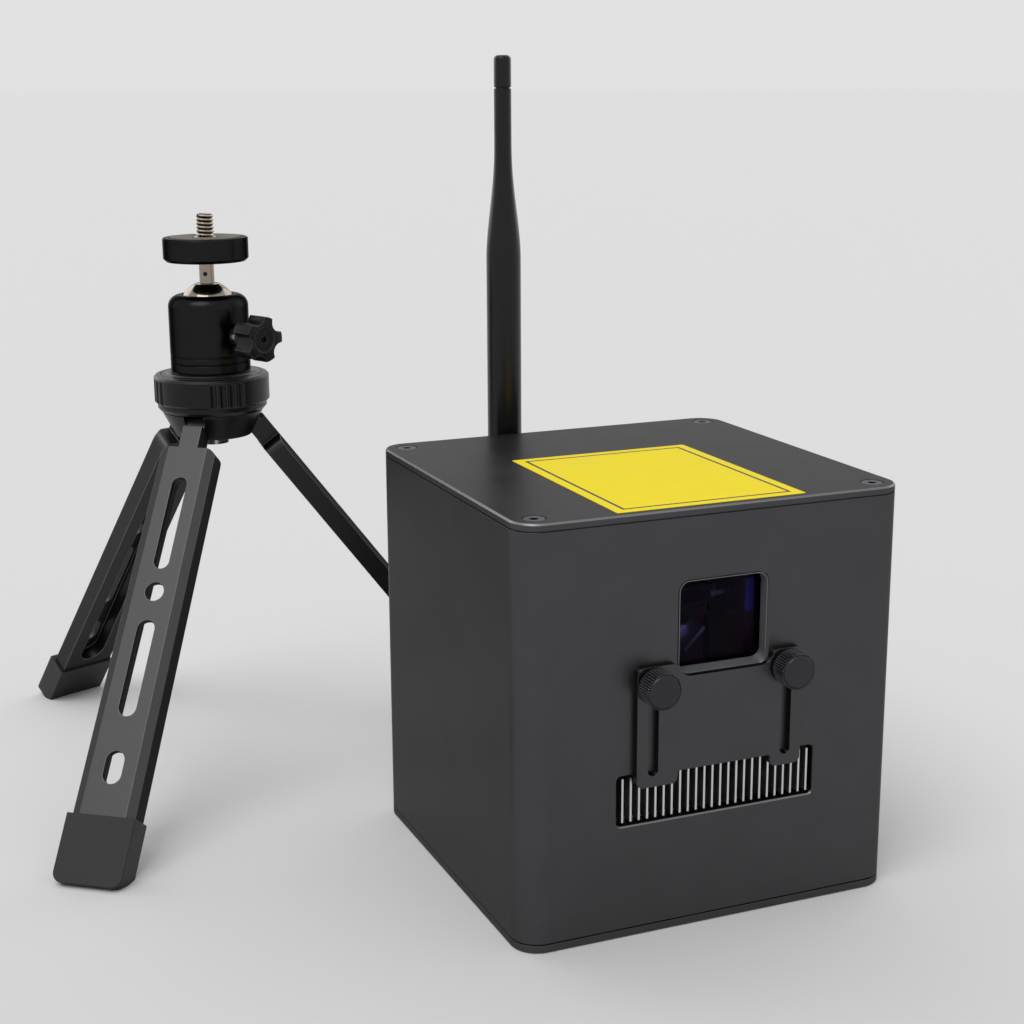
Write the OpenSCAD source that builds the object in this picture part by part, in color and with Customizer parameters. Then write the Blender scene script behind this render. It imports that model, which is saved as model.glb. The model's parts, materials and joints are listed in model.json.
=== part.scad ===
// Cube-shaped laser show projector with a rod antenna, and its table tripod with a ball head.
// Millimetres, +Z up. The origin is the middle of the projector's bottom face, its window faces -Y,
// and the tripod stands by itself to the left and behind, on the same surface.

/* [Housing] */
// Width of the projector, along X
housing_w = 120; // [116:1:150]
// Depth of the projector, along Y
housing_d = 115; // [112:1:150]
// Height of the extruded sleeve between the two plates
sleeve_h = 119; // [117:1:150]
// Radius of the upright corners
corner_r = 8; // [6:0.5:12]
// Wall of the sleeve
wall = 4; // [3.5:0.1:5]
// Thickness of the top plate
top_t = 2; // [1.8:0.1:4]
// Thickness of the bottom plate
bottom_t = 2.5; // [2:0.1:5]
// Bevel round the outer edges of both plates
plate_bevel = 0.5; // [0.3:0.1:1]
// Gap that shows between a plate and the sleeve
seam_h = 0.4; // [0.2:0.1:0.6]
// How far that gap is set back
seam_depth = 0.6; // [0.3:0.1:1]
// Distance of the plate screws from the outer faces
screw_inset = 7; // [6.5:0.5:9]
// Radius of the screw ports in the sleeve's corners
port_r = 4.5; // [4:0.1:5]

/* [Fasteners] */
// Radius of the plate screws' shanks
screw_r = 1.5; // [1:0.1:2]
// Radius of the countersunk heads
screw_head_r = 3.4; // [3:0.1:4]
// Length of the plate screws
screw_l = 12; // [8:1:20]
// Across flats of the hexagon sockets
socket_af = 2.5; // [2:0.1:3]
// Radial clearance of a part that turns in a bore
running_gap = 0.05; // [0.02:0.01:0.1]
// Radius of the 1/4 inch stand thread in the bottom plate
stand_thread_r = 3.175; // [3:0.005:5]
// Radius of the boss round the stand thread
stand_boss_r = 8; // [6:0.5:12]
// Height of that boss inside the bottom plate
stand_boss_h = 3; // [2:0.5:4]

/* [Window] */
// Width of the window opening
window_w = 27.4; // [24:0.2:30]
// Height of the window opening
window_h = 26.4; // [24:0.2:28]
// Corner radius of the window opening
window_r = 3; // [2:0.5:6]
// Bevel round the front edge of the window opening
window_bevel = 0.8; // [0.4:0.1:1]
// Window centre along X, over the second scanning mirror
window_x = 1.5; // [-2:0.5:3]
// Window centre above the floor
window_z = 89.5; // [88:0.5:92]
// Thickness of the window glass
glass_t = 2; // [1:0.1:3]
// Margin of the glass behind the opening
glass_margin = 2; // [1.5:0.1:2.2]
// Width of the gasket's frame outside the glass
gasket_w = 1.2; // [1:0.1:1.4]

/* [Vent and heat sink] */
// Width of the front vent
vent_w = 63.2; // [62:0.2:70]
// Height of the front vent
vent_h = 15; // [12:0.2:16]
// Vent centre along X
vent_x = 0.5; // [0:0.1:0.6]
// Lower edge of the front vent above the floor
vent_z = 33.9; // [33.3:0.1:35]
// Bevel round the front edge of the vent
vent_bevel = 0.4; // [0.2:0.1:0.6]
// Corner radius of the vent
vent_r = 1.5; // [1:0.5:3]
// Number of cooling fins
fin_count = 24; // [20:1:24]
// Distance between two fins
fin_pitch = 2.58; // [2.2:0.01:2.6]
// Thickness of a fin
fin_t = 0.6; // [0.5:0.1:1]
// How far the fins' noses lie behind the housing's front face
fin_recess = 0.5; // [0.5:0.5:3]
// Height of the fins below the heat sink's base
fin_h = 21; // [20.5:0.5:22]
// Length of the heat sink's base
sink_l = 84; // [80:1:86]
// Thickness of the heat sink's base
sink_t = 5; // [4:0.5:6]
// Width of the heat sink's base
sink_w = 94; // [90:1:95]
// Underside of the heat sink's base above the floor
sink_z = 55; // [55:0.5:56]
// Thickness of the optics base plate
optics_t = 3; // [2:0.5:4]
// Radius of the pillars that carry the heat sink
pillar_r = 4; // [3:0.5:5]

/* [Shutter] */
// Thickness of the masking plate
shutter_t = 2; // [1.5:0.1:3]
// Width of the masking plate
shutter_w = 52.2; // [50:0.2:56]
// Top of the masking plate's ears above the floor, plate lowered
shutter_top = 80.4; // [80:0.2:82]
// Lower end of the masking plate's legs above the floor
shutter_bottom = 45.3; // [44:0.1:46]
// Distance of the slots from the middle
slot_x = 21.1; // [20:0.1:22]
// Width of the slots
slot_w = 3.2; // [3.2:0.1:4]
// Way that the masking plate slides
shutter_travel = 25; // [15:1:26]
// Height of the thumb screws above the floor
thumb_z = 75.1; // [74:0.1:76]
// Radius of a thumb screw's head
thumb_r = 5.3; // [4:0.1:6]
// Thickness of a thumb screw's head
thumb_h = 6.5; // [4:0.5:8]
// Knurl ridges round a thumb screw
knurl_count = 40; // [24:2:48]
// Length of a thumb screw's thread inside the masking plate
thumb_l = 9; // [8:0.5:12]
// Gap between sliding faces
slide_gap = 0.1; // [0.05:0.01:0.2]

/* [Beam path] */
// Height of the beam above the optics base plate
beam_h = 17; // [16:0.5:18]
// Height of the second scanning mirror above the first
mirror_rise = 12; // [11:0.5:13]
// Distance of the scanning mirrors behind the housing's front face
mirror_y = 21.5; // [20:0.5:24]
// Radius of the two scanning motors
motor_r = 6.5; // [5:0.5:7]
// Length of the scanning motors
motor_l = 26; // [20:1:28]
// Radius of the diode barrels
diode_r = 4.5; // [3:0.5:5]
// Length of the diode barrels
diode_l = 14; // [10:1:15]
// Distance between the two combining mirrors
diode_pitch = 13; // [12:0.5:14]

/* [Rear panel] */
// Side of the square fan
fan_size = 60; // [50:1:62]
// Thickness of the fan
fan_t = 15; // [12:1:16]
// Distance of the fan from the right side wall
fan_margin = 9; // [9:0.5:11]
// Fan centre above the floor
fan_z = 40; // [38:0.5:42]
// Number of fan blades
blade_count = 7; // [5:2:9]
// Width of the slots in the fan's grille
grille_slot = 3; // [2:0.5:4]
// Distance between two slots of the grille
grille_pitch = 5.4; // [5:0.1:7]
// Distance of the column of controls from the left side wall
panel_inset = 18; // [17:0.5:19]
// Radius of the power jack's barrel
jack_r = 5.5; // [5:0.1:6]
// Height of the power jack above the floor
jack_z = 19; // [16:0.5:21]
// Height of the rocker switch above the floor
switch_z = 41; // [40:0.5:43]
// Width of the rocker switch's bezel
switch_w = 15; // [14:0.5:16]
// Height of the rocker switch's bezel
switch_h = 21; // [20:0.5:22]
// Swing of the rocker
rocker_angle = 14; // [10:1:16]
// Radius of the key lock's barrel
lock_r = 7; // [6:0.5:8]
// Height of the key lock above the floor
lock_z = 64; // [62:0.5:65]
// Length of the key from the lock's face to the end of its bow
key_l = 26; // [24:1:32]
// Height of the network jack above the floor
network_z = 92; // [91:0.5:94]
// Height of the data connector above the floor
data_z = 100; // [99:0.5:102]
// Data connector's centre along X
data_x = 20; // [19:0.5:21]

/* [Antenna] */
// Distance of the antenna from the middle, to the left
antenna_x = 11; // [10:0.5:12]
// Height of the antenna's socket above the floor
antenna_z = 82; // [81:0.5:84]
// Distance of the antenna's rod behind the rear face
antenna_out = 13.5; // [13:0.5:18]
// Length of the rod above its hinge
rod_l = 162; // [120:1:200]
// Radius of the rod's lower part
rod_r = 6; // [5:0.5:6.5]
// Radius of the rod's upper part
tip_r = 2.8; // [2:0.1:4]
// Length of the rod's thin upper part
tip_l = 39; // [30:1:50]
// Length of the taper between the two
taper_l = 25; // [15:1:35]
// Length of the cap at the rod's top
cap_l = 10; // [6:1:14]

/* [Tripod stand] */
// Tripod's axis, distance to the left of the projector's middle
tripod_x = 98; // [95:1:110]
// Tripod's axis, distance behind the projector's middle
tripod_y = 122; // [122:1:135]
// Bearing of the front leg, from +X
front_leg_bearing = -126.8; // [-131:0.2:-126]
// Distance of the feet from the axis, legs spread
foot_reach = 104.8; // [95:0.2:110]
// Distance of the leg pins from the axis
pin_reach = 11.5; // [11:0.1:12.5]
// Height of the leg pins above the floor
pin_z = 124.6; // [115:0.2:135]
// Radius of the leg pins
pin_r = 1.25; // [1:0.05:1.5]
// Thickness of the tongue at the top of a leg
tongue_w = 6.6; // [5:0.1:7]
// Gap on each side of the tongue
tongue_gap = 0.2; // [0.1:0.05:0.4]
// Length of the tongue below its pin
tongue_l = 9; // [9:0.5:12]
// Width of a leg at its top
leg_top_w = 19; // [16:0.5:20]
// Width of a leg at its foot
leg_end_w = 21.2; // [18:0.2:22]
// Depth of a leg's channel
leg_t = 7.5; // [7:0.1:8]
// Distance of the channel's open back from the leg's pin
leg_back = 3; // [2.8:0.1:3.2]
// Thickness of the channel's outer web
web_t = 2.4; // [2:0.1:3]
// Width of the border on each side of the channel in a leg's back
leg_wall = 5.6; // [5:0.1:6]
// Depth of the bevel along a leg's outer edges
leg_bevel_h = 1.3; // [0.8:0.1:1.6]
// Width of that bevel
leg_bevel_w = 2.8; // [2:0.1:3.2]
// Length of the feet
foot_l = 19.5; // [17:0.5:25]
// How far a foot stands proud of its leg
foot_proud = 0.8; // [0.5:0.1:1]

/* [Tripod head] */
// Radius of the hub's flange
hub_r = 18.4; // [18:0.1:20]
// Radius of the hub's skirt at the flange
skirt_r = 17; // [16.5:0.1:17.2]
// Radius of the skirt's lower end
skirt_end_r = 12.8; // [12.5:0.1:14]
// Depth of the skirt below the flange
skirt_h = 8; // [7:0.5:8.5]
// Thickness of the flange
flange_t = 3.5; // [3:0.1:5]
// Radius of the lock collar
collar_r = 19.4; // [19:0.1:21]
// Height of the lock collar
collar_h = 10.5; // [9:0.5:14]
// Radius of the hub's neck inside the collar
neck_r = 13; // [12:0.1:13.4]
// Radius of the ball housing
head_r = 13.4; // [13.4:0.1:14]
// Thickness of the head's base ring
head_base_h = 3; // [2:0.5:4]
// Height of the ball housing
head_h = 22.5; // [21:0.5:25]
// Radius of the rounding at the ball housing's top
head_round = 4; // [3:0.5:4.5]
// Radius of the ball
ball_r = 9.5; // [9:0.1:10]
// Depth of the ball's centre below the housing's top
ball_drop = 5; // [4.5:0.1:6]
// Radius of the ball's stem
stem_r = 2.5; // [2.3:0.1:4]
// Length of the stem above the ball's centre
stem_l = 16; // [15.5:0.5:20]
// Radius of the camera platform
platform_r = 14.2; // [13:0.1:16]
// Thickness of the camera platform
platform_t = 7.9; // [6:0.1:10]
// Radius of the platform's pad
pad_r = 11.9; // [10:0.1:12.5]
// Thickness of the platform's pad
pad_t = 0.8; // [0.5:0.1:1.5]
// Radius of the 1/4 inch camera screw
camera_screw_r = 3.175; // [3:0.005:5]
// Length of the camera screw above the pad
camera_screw_l = 7.6; // [5:0.1:10]
// Bearing of the clamp knob, from +X
clamp_bearing = -65; // [-75:1:-55]
// Radius of the clamp screw's shank
clamp_r = 2.4; // [2:0.1:3]
// Length of the clamp knob
clamp_knob_l = 13; // [8:0.5:14]
// Radius of the clamp knob
clamp_knob_r = 7.6; // [6:0.1:9]
// Number of the clamp knob's lobes
lobe_count = 5; // [3:1:6]

/* [Hidden] */
$fn = 96;

// Housing levels and faces
sleeve_z = bottom_t;
top_z = sleeve_z + sleeve_h;
front_y = -housing_d / 2;
rear_y = housing_d / 2;
inner_front_y = front_y + wall;
inner_rear_y = rear_y - wall;
screw_x = housing_w / 2 - screw_inset;
screw_y = housing_d / 2 - screw_inset;
head_cone_h = screw_head_r - screw_r;
head_rim = 0.4;
socket_depth = 1.8;

// Heat sink and optics levels
sink_top = sink_z + sink_t;
optics_z = sink_top + optics_t;
beam_z = optics_z + beam_h;
upper_beam_z = beam_z + mirror_rise;
beam_y = front_y + mirror_y;
sink_front_y = inner_front_y + 0.5;
sink_rear_y = sink_front_y + sink_l;
fin_nose_margin = 1;
pillar_x = sink_w / 2 - pillar_r - 1;
pillar_ys = [sink_front_y + 14, sink_rear_y - 8];

// Scanning and combining mirrors
mirror_t = 1;
mirror_x_size = [8, 9];
mirror_y_size = [14, 9];
mirror_clamp_r = 2.2;
galvo_shaft_r = 1.5;
shaft_bore_l = 8;
motor_x_y = beam_y + 7;
motor_y_x = window_x + mirror_y_size[0] / 2 + 3.5;
motor_proud = 2;
block_margin = 3.5;
combine_size = 9;
combine_gap = 18.5;
combine_xs = [window_x - combine_gap - diode_pitch, window_x - combine_gap];
side_lens_x = combine_xs[0] - 7.5;
rear_lens_y = beam_y + 8;

// Boards
board_t = 1.6;
driver_board_x = sink_w / 2 - 3;
driver_board_h = 42;
driver_board_start = 12;
laser_board_h = 38;
laser_board_start = 30;
power_board_size = [68, 56, board_t];
power_board_y = -40;
power_board_z = bottom_t + 6;
power_can_r = 5;
power_can_l = 14;
power_can_pitch = 14;
power_choke = [20, 18, 10];
power_relay = [18, 14, 8];
power_rows = [14, 32];
board_left_gap = 6;
board_right_gap = 10;
board_top_gap = 8.5;
main_board_x = -housing_w / 2 + wall + board_left_gap;
main_board_y = inner_rear_y - 12;
main_board_z = network_z - 16;
main_board_size = [
    housing_w - 2 * wall - board_left_gap - board_right_gap, board_t, top_z - board_top_gap - main_board_z
];
spacer_r = 2.5;

// Shutter
shutter_y = front_y - slide_gap - shutter_t;
thumb_y = shutter_y - slide_gap - thumb_h;
slot_end_z = thumb_z - shutter_travel;
frame_w = window_w + 2 * window_bevel;
frame_h = window_h + 2 * window_bevel;
frame_r = window_r + window_bevel;
ear_cut_z = window_z - frame_h / 2 + 0.8;
shutter_side_gap = 0.3;
shutter_r = 2;

// Rear panel
fan_x = housing_w / 2 - wall - fan_margin - fan_size / 2;
panel_x = housing_w / 2 - wall - panel_inset;
grille_r = fan_size / 2 - 3;
network_hole = [16, 13.5];
network_mouth = [11.8, 8];
data_hole = [39.5, 9];
data_screw_x = 23.5;
flange_proud = 1;
socket_r = 3.2;
socket_l = 7;
key_r = 4;
jack_pin_r = 1.05;
jack_bore_r = 3.15;
fit_gap = 0.05;
rotor_r = fan_size / 2 - 2.6;
rotor_hub_r = fan_size / 5;
fan_y = inner_rear_y - fan_t;
fan_plate_t = 2.5;
fan_hole = fan_size / 2 - 5;
lock_l = 16;
lock_face_h = 2.5;
key_depth = 7.5;
rocker_y = rear_y - 1.5;
trunnion_r = 0.9;

// Antenna
antenna_y = rear_y + antenna_out;
nut_h = 2;
knuckle_r = 5.2;
ear_r = 5;
ear_gap = 4.6;
tang_r = 4.6;
tang_w = ear_gap - 0.2;
hinge_r = 1.25;
rod_base = 6.5;

// Tripod
spread = atan2(foot_reach - pin_reach, pin_z);
leg_l = sqrt(pow(foot_reach - pin_reach, 2) + pow(pin_z, 2));
bearings = [front_leg_bearing, front_leg_bearing - 120, front_leg_bearing + 120];
tongue_r = 2.7;
tongue_step = 3.4;
leg_shoulder = tongue_l + 2.2;
leg_end = leg_l - foot_l;
leg_pin_l = 15;
pin_end_gap = 0.1;
bolt_r = 3;
bolt_l = 12.5;
flange_z = pin_z + 2.2;
flange_top = flange_z + flange_t;
collar_top = flange_top + collar_h;
head_z = collar_top + 0.4;
housing_z = head_z + head_base_h;
ball_z = housing_z + head_h - ball_drop;
platform_z = ball_z + stem_l;
pad_proud = 0.2;
pad_top = platform_z + slide_gap + platform_t + pad_proud;
screw_shoulder_r = camera_screw_r + 0.6;
screw_seat = 1;
clamp_z = housing_z + 9.5;
clamp_knob_gap = 2.6;
knob_seat = 4;
pivot_r = 6;
pivot_h = 3;

// Shared shapes

// A rectangle in the XY plane with round corners
module rounded_rect(w, d, r) {
    square([w - 2 * r, d], center = true);
    square([w, d - 2 * r], center = true);
    for (x = [-1, 1], y = [-1, 1]) translate([x * (w / 2 - r), y * (d / 2 - r)]) circle(r);
}

// A slab with round upright corners and a bevel at its top or bottom edge, standing on z = 0
module slab(w, d, h, r, top_bevel = 0, bottom_bevel = 0) {
    module section(half) {
        polygon([
            [-half + bottom_bevel, 0], [half - bottom_bevel, 0], [half, bottom_bevel],
            [half, h - top_bevel], [half - top_bevel, h], [-half + top_bevel, h],
            [-half, h - top_bevel], [-half, bottom_bevel]
        ]);
    }
    translate([0, d / 2 - r, 0]) rotate([90, 0, 0]) linear_extrude(d - 2 * r) section(w / 2);
    rotate([0, 0, 90]) translate([0, w / 2 - r, 0]) rotate([90, 0, 0])
        linear_extrude(w - 2 * r) section(d / 2);
    for (x = [-1, 1], y = [-1, 1]) translate([x * (w / 2 - r), y * (d / 2 - r), 0])
        rotate_extrude() polygon([
            [0, 0], [r - bottom_bevel, 0], [r, bottom_bevel], [r, h - top_bevel], [r - top_bevel, h], [0, h]
        ]);
}

// A flat shape drawn with x to the right and y up, standing from y0 back to y0 + t
module pane(y0, t) {
    translate([0, y0 + t, 0]) rotate([90, 0, 0]) linear_extrude(t) children();
}

// A cylinder along Y from y0 to y1
module rod_y(r, y0, y1) {
    translate([0, y0, 0]) rotate([-90, 0, 0]) cylinder(r = r, h = y1 - y0);
}

// A cylinder along X from x0 to x1
module rod_x(r, x0, x1) {
    translate([x0, 0, 0]) rotate([0, 90, 0]) cylinder(r = r, h = x1 - x0);
}

// The four plate screw places
module at_screws() {
    for (x = [-1, 1], y = [-1, 1]) translate([x * screw_x, y * screw_y, 0]) children();
}

// A countersunk screw with its head's face at z = 0 and its shank downwards
module countersunk_screw() {
    difference() {
        union() {
            translate([0, 0, -head_cone_h - head_rim])
                cylinder(r1 = screw_r, r2 = screw_head_r, h = head_cone_h);
            translate([0, 0, -head_rim]) cylinder(r = screw_head_r, h = head_rim - 0.1);
            translate([0, 0, -screw_l]) cylinder(r = screw_r, h = screw_l - head_rim);
        }
        translate([0, 0, -socket_depth]) cylinder(d = socket_af / cos(30), h = socket_depth + 1, $fn = 6);
    }
}

// The seat of a countersunk screw, to be cut from a plate
module countersunk_seat() {
    translate([0, 0, -head_cone_h - head_rim]) cylinder(r1 = screw_r, r2 = screw_head_r, h = head_cone_h);
    translate([0, 0, -head_rim]) cylinder(r = screw_head_r, h = 1);
    translate([0, 0, -screw_l - 1]) cylinder(r = screw_r, h = screw_l);
}

// Projector housing

module sleeve() {
    color([0.08, 0.08, 0.09]) difference() {
        union() {
            difference() {
                translate([0, 0, sleeve_z]) slab(housing_w, housing_d, sleeve_h, corner_r);
                translate([0, 0, sleeve_z - 1]) linear_extrude(sleeve_h + 2)
                    rounded_rect(housing_w - 2 * wall, housing_d - 2 * wall, corner_r - wall + 1);
            }
            at_screws() translate([0, 0, sleeve_z]) cylinder(r = port_r, h = sleeve_h);
        }
        at_screws() {
            translate([0, 0, sleeve_z - 1]) cylinder(r = screw_r, h = sleeve_h + 2);
            translate([0, 0, top_z + top_t]) countersunk_seat();
            mirror([0, 0, 1]) countersunk_seat();
        }
        seam_cut(sleeve_z - 1);
        seam_cut(top_z - seam_h);
        pane(front_y - 1, wall + 2) translate([window_x, window_z])
            rounded_rect(window_w, window_h, window_r);
        pane(front_y - 1, wall + 2) translate([vent_x, vent_z + vent_h / 2])
            rounded_rect(vent_w, vent_h, vent_r);
        translate([window_x, 0, window_z]) opening_bevel(window_w, window_h, window_r, window_bevel);
        translate([vent_x, 0, vent_z + vent_h / 2]) opening_bevel(vent_w, vent_h, vent_r, vent_bevel);
        for (x = [-slot_x, slot_x]) translate([x, 0, thumb_z])
            rod_y(screw_r + running_gap, front_y - 1, inner_front_y + 1);
        rear_cuts();
    }
}

// What a bevel takes off the edge of an opening in the front face, centred at x = 0 and z = 0
module opening_bevel(w, h, r, bevel) {
    grow = bevel + 0.2;
    translate([0, front_y + bevel, 0]) rotate([90, 0, 0])
        slab(w + 2 * grow, h + 2 * grow, grow + 0.5, r + grow, bottom_bevel = grow);
}

// The shallow step that leaves a dark line between the sleeve and a plate
module seam_cut(z) {
    translate([0, 0, z]) difference() {
        linear_extrude(seam_h + 1) square([housing_w + 10, housing_d + 10], center = true);
        translate([0, 0, -1]) linear_extrude(seam_h + 3)
            rounded_rect(housing_w - 2 * seam_depth, housing_d - 2 * seam_depth, corner_r - seam_depth);
    }
}

module rear_cuts() {
    y0 = inner_rear_y - 1;
    t = wall + 2;
    pane(y0, t) intersection() {
        translate([fan_x, fan_z]) circle(grille_r);
        for (i = [-floor(grille_r / grille_pitch) : floor(grille_r / grille_pitch)])
            translate([fan_x + i * grille_pitch, fan_z]) square([grille_slot, 2 * grille_r], center = true);
    }
    for (x = [-1, 1], z = [-1, 1]) translate([fan_x + x * fan_hole, 0, fan_z + z * fan_hole])
        rod_y(screw_r, y0, y0 + t);
    translate([-panel_x, 0, jack_z]) rod_y(jack_r, y0, y0 + t);
    translate([-panel_x, 0, lock_z]) rod_y(lock_r, y0, y0 + t);
    pane(y0, t) translate([-panel_x, switch_z]) square([switch_w - 2, switch_h - 2], center = true);
    pane(y0, t) translate([-panel_x, network_z]) square(network_hole, center = true);
    pane(y0, t) translate([data_x, data_z]) square(data_hole, center = true);
    for (x = [-1, 1]) translate([data_x + x * data_screw_x, 0, data_z]) rod_y(screw_r, y0, y0 + t);
    translate([-antenna_x, 0, antenna_z]) rod_y(socket_r, y0, y0 + t);
}

module top_plate() {
    color([0.08, 0.08, 0.09]) difference() {
        translate([0, 0, top_z]) slab(housing_w, housing_d, top_t, corner_r, top_bevel = plate_bevel);
        at_screws() translate([0, 0, top_z + top_t]) countersunk_seat();
    }
}

module bottom_plate() {
    color([0.08, 0.08, 0.09]) difference() {
        union() {
            slab(housing_w, housing_d, bottom_t, corner_r, bottom_bevel = plate_bevel);
            cylinder(r = stand_boss_r, h = bottom_t + stand_boss_h);
        }
        at_screws() mirror([0, 0, 1]) countersunk_seat();
        translate([0, 0, -1]) cylinder(r = stand_thread_r, h = bottom_t + stand_boss_h + 2);
    }
}

module top_screws() {
    color([0.1, 0.1, 0.1]) at_screws() translate([0, 0, top_z + top_t]) countersunk_screw();
}

module bottom_screws() {
    color([0.1, 0.1, 0.1]) at_screws() mirror([0, 0, 1]) countersunk_screw();
}

module window_glass() {
    color([0.15, 0.12, 0.35, 0.5]) pane(inner_front_y, glass_t) translate([window_x, window_z])
        rounded_rect(window_w + 2 * glass_margin, window_h + 2 * glass_margin, window_r + glass_margin);
}

module window_gasket() {
    lap = 2;
    color([0.05, 0.05, 0.05]) translate([window_x, 0, window_z]) difference() {
        pane(inner_front_y, glass_t + lap) rounded_rect(
            window_w + 2 * (glass_margin + gasket_w), window_h + 2 * (glass_margin + gasket_w),
            window_r + glass_margin + gasket_w);
        pane(inner_front_y - 1, glass_t + 1) rounded_rect(
            window_w + 2 * glass_margin, window_h + 2 * glass_margin, window_r + glass_margin);
        pane(inner_front_y - 1, glass_t + lap + 2) rounded_rect(window_w, window_h, window_r);
    }
}

// Cooling and optics

module heat_sink() {
    nose_y = front_y + fin_recess;
    fin_bottom = sink_z - fin_h;
    nose_top = vent_z + vent_h - fin_nose_margin;
    nose_bottom = max(fin_bottom, vent_z + fin_nose_margin);
    color([0.75, 0.75, 0.77]) {
        translate([-sink_w / 2, sink_front_y, sink_z]) cube([sink_w, sink_l, sink_t]);
        for (i = [0 : fin_count - 1])
            translate([vent_x + (i - (fin_count - 1) / 2) * fin_pitch - fin_t / 2, 0, 0]) {
            translate([0, sink_front_y, fin_bottom]) cube([fin_t, sink_l - 4, fin_h + 0.5]);
            translate([0, nose_y, nose_bottom])
                cube([fin_t, sink_front_y - nose_y + 0.5, nose_top - nose_bottom]);
        }
    }
}

module optics_base() {
    color([0.2, 0.2, 0.21]) translate([-sink_w / 2, sink_front_y, sink_top])
        cube([sink_w, sink_l, optics_t]);
}

module base_pillars() {
    color([0.7, 0.7, 0.72]) for (x = [-1, 1], y = pillar_ys) translate([x * pillar_x, y, bottom_t])
        cylinder(r = pillar_r, h = sink_z - bottom_t);
}

module laser_block() {
    bore_r = diode_r + running_gap;
    side = 2 * diode_r + 2 * block_margin;
    top = beam_z - optics_z + diode_r + block_margin;
    thick = 8;
    lens_proud = 1;
    color([0.3, 0.3, 0.32]) difference() {
        union() {
            translate([side_lens_x - lens_proud - thick, beam_y - side / 2, optics_z])
                cube([thick, side, top]);
            translate([combine_xs[0] - side / 2, rear_lens_y + lens_proud, optics_z])
                cube([diode_pitch + side, thick, top]);
        }
        translate([0, beam_y, beam_z]) rod_x(bore_r, side_lens_x - diode_l, side_lens_x);
        for (x = combine_xs) translate([x, 0, beam_z]) rod_y(bore_r, rear_lens_y, rear_lens_y + diode_l);
    }
}

// One diode barrel along +Z, its lens end at z = 0
module diode_barrel() {
    lens_depth = 1.5;
    barrel_wall = 1.5;
    difference() {
        translate([0, 0, -diode_l]) cylinder(r = diode_r, h = diode_l);
        translate([0, 0, -lens_depth]) cylinder(r = diode_r - barrel_wall, h = lens_depth + 1);
    }
}

module diode_barrels() {
    color([0.72, 0.55, 0.25]) {
        translate([side_lens_x, beam_y, beam_z]) rotate([0, 90, 0]) diode_barrel();
        for (x = combine_xs) translate([x, rear_lens_y, beam_z]) rotate([90, 0, 0]) diode_barrel();
    }
}

module combining_mirrors() {
    color([0.5, 0.3, 0.7]) for (x = combine_xs) translate([x, beam_y, beam_z]) rotate([0, 0, 45])
        translate([-mirror_t / 2, -combine_size / 2, -combine_size / 2])
            cube([mirror_t, combine_size, combine_size]);
}

module mirror_posts() {
    post_t = 4;
    color([0.3, 0.3, 0.32]) for (x = combine_xs) translate([x, beam_y, optics_z]) rotate([0, 0, 45])
        translate([-post_t / 2, -combine_size / 2, 0])
            cube([post_t, combine_size, beam_h - combine_size / 2]);
}

module galvo_block() {
    r = motor_r + running_gap;
    half = motor_r + block_margin;
    base_t = 4;
    along_y = motor_x_y + motor_proud;
    along_x = motor_y_x + motor_proud;
    arm_l = motor_l * 0.7;
    color([0.35, 0.35, 0.37]) difference() {
        union() {
            translate([window_x - half, along_y, optics_z]) cube([2 * half, arm_l, beam_h + half]);
            translate([along_x, beam_y - half, optics_z])
                cube([arm_l, 2 * half, upper_beam_z - optics_z + half]);
            translate([window_x - half, beam_y - half, optics_z])
                cube([along_x - window_x + half + 1, along_y - beam_y + half + arm_l, base_t]);
        }
        translate([window_x, 0, beam_z]) rod_y(r, along_y - 1, along_y + arm_l + 1);
        translate([0, beam_y, upper_beam_z]) rod_x(r, along_x - 1, along_x + arm_l + 1);
    }
}

// A scanning motor along +Z with its front at z = 0, bored for the mirror's shaft
module galvo_motor() {
    difference() {
        cylinder(r = motor_r, h = motor_l);
        translate([0, 0, -1]) cylinder(r = galvo_shaft_r + running_gap, h = shaft_bore_l + 1);
    }
}

module galvo_motor_x() {
    color([0.15, 0.15, 0.16]) translate([window_x, motor_x_y, beam_z]) rotate([-90, 0, 0]) galvo_motor();
}

module galvo_motor_y() {
    color([0.15, 0.15, 0.16]) translate([motor_y_x, beam_y, upper_beam_z]) rotate([0, 90, 0]) galvo_motor();
}

// A scanning mirror whose shaft runs along +Z from the mirror's middle
module scanning_mirror(size, turn) {
    shaft_l = 9;
    clamp_h = 1.8;
    rotate([0, 0, turn]) translate([-size[1] / 2, -mirror_t / 2, -size[0] / 2])
        cube([size[1], mirror_t, size[0]]);
    translate([0, 0, size[0] / 2 - 0.5]) cylinder(r = galvo_shaft_r, h = shaft_l);
    translate([0, 0, size[0] / 2 - 1]) cylinder(r = mirror_clamp_r, h = clamp_h);
}

module galvo_mirror_x() {
    color([0.9, 0.9, 0.95]) translate([window_x, beam_y, beam_z]) rotate([-90, 0, 0])
        scanning_mirror(mirror_x_size, -45);
}

module galvo_mirror_y() {
    color([0.9, 0.9, 0.95]) translate([window_x, beam_y, upper_beam_z]) rotate([0, 90, 0])
        scanning_mirror(mirror_y_size, 45);
}

// Boards

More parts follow.
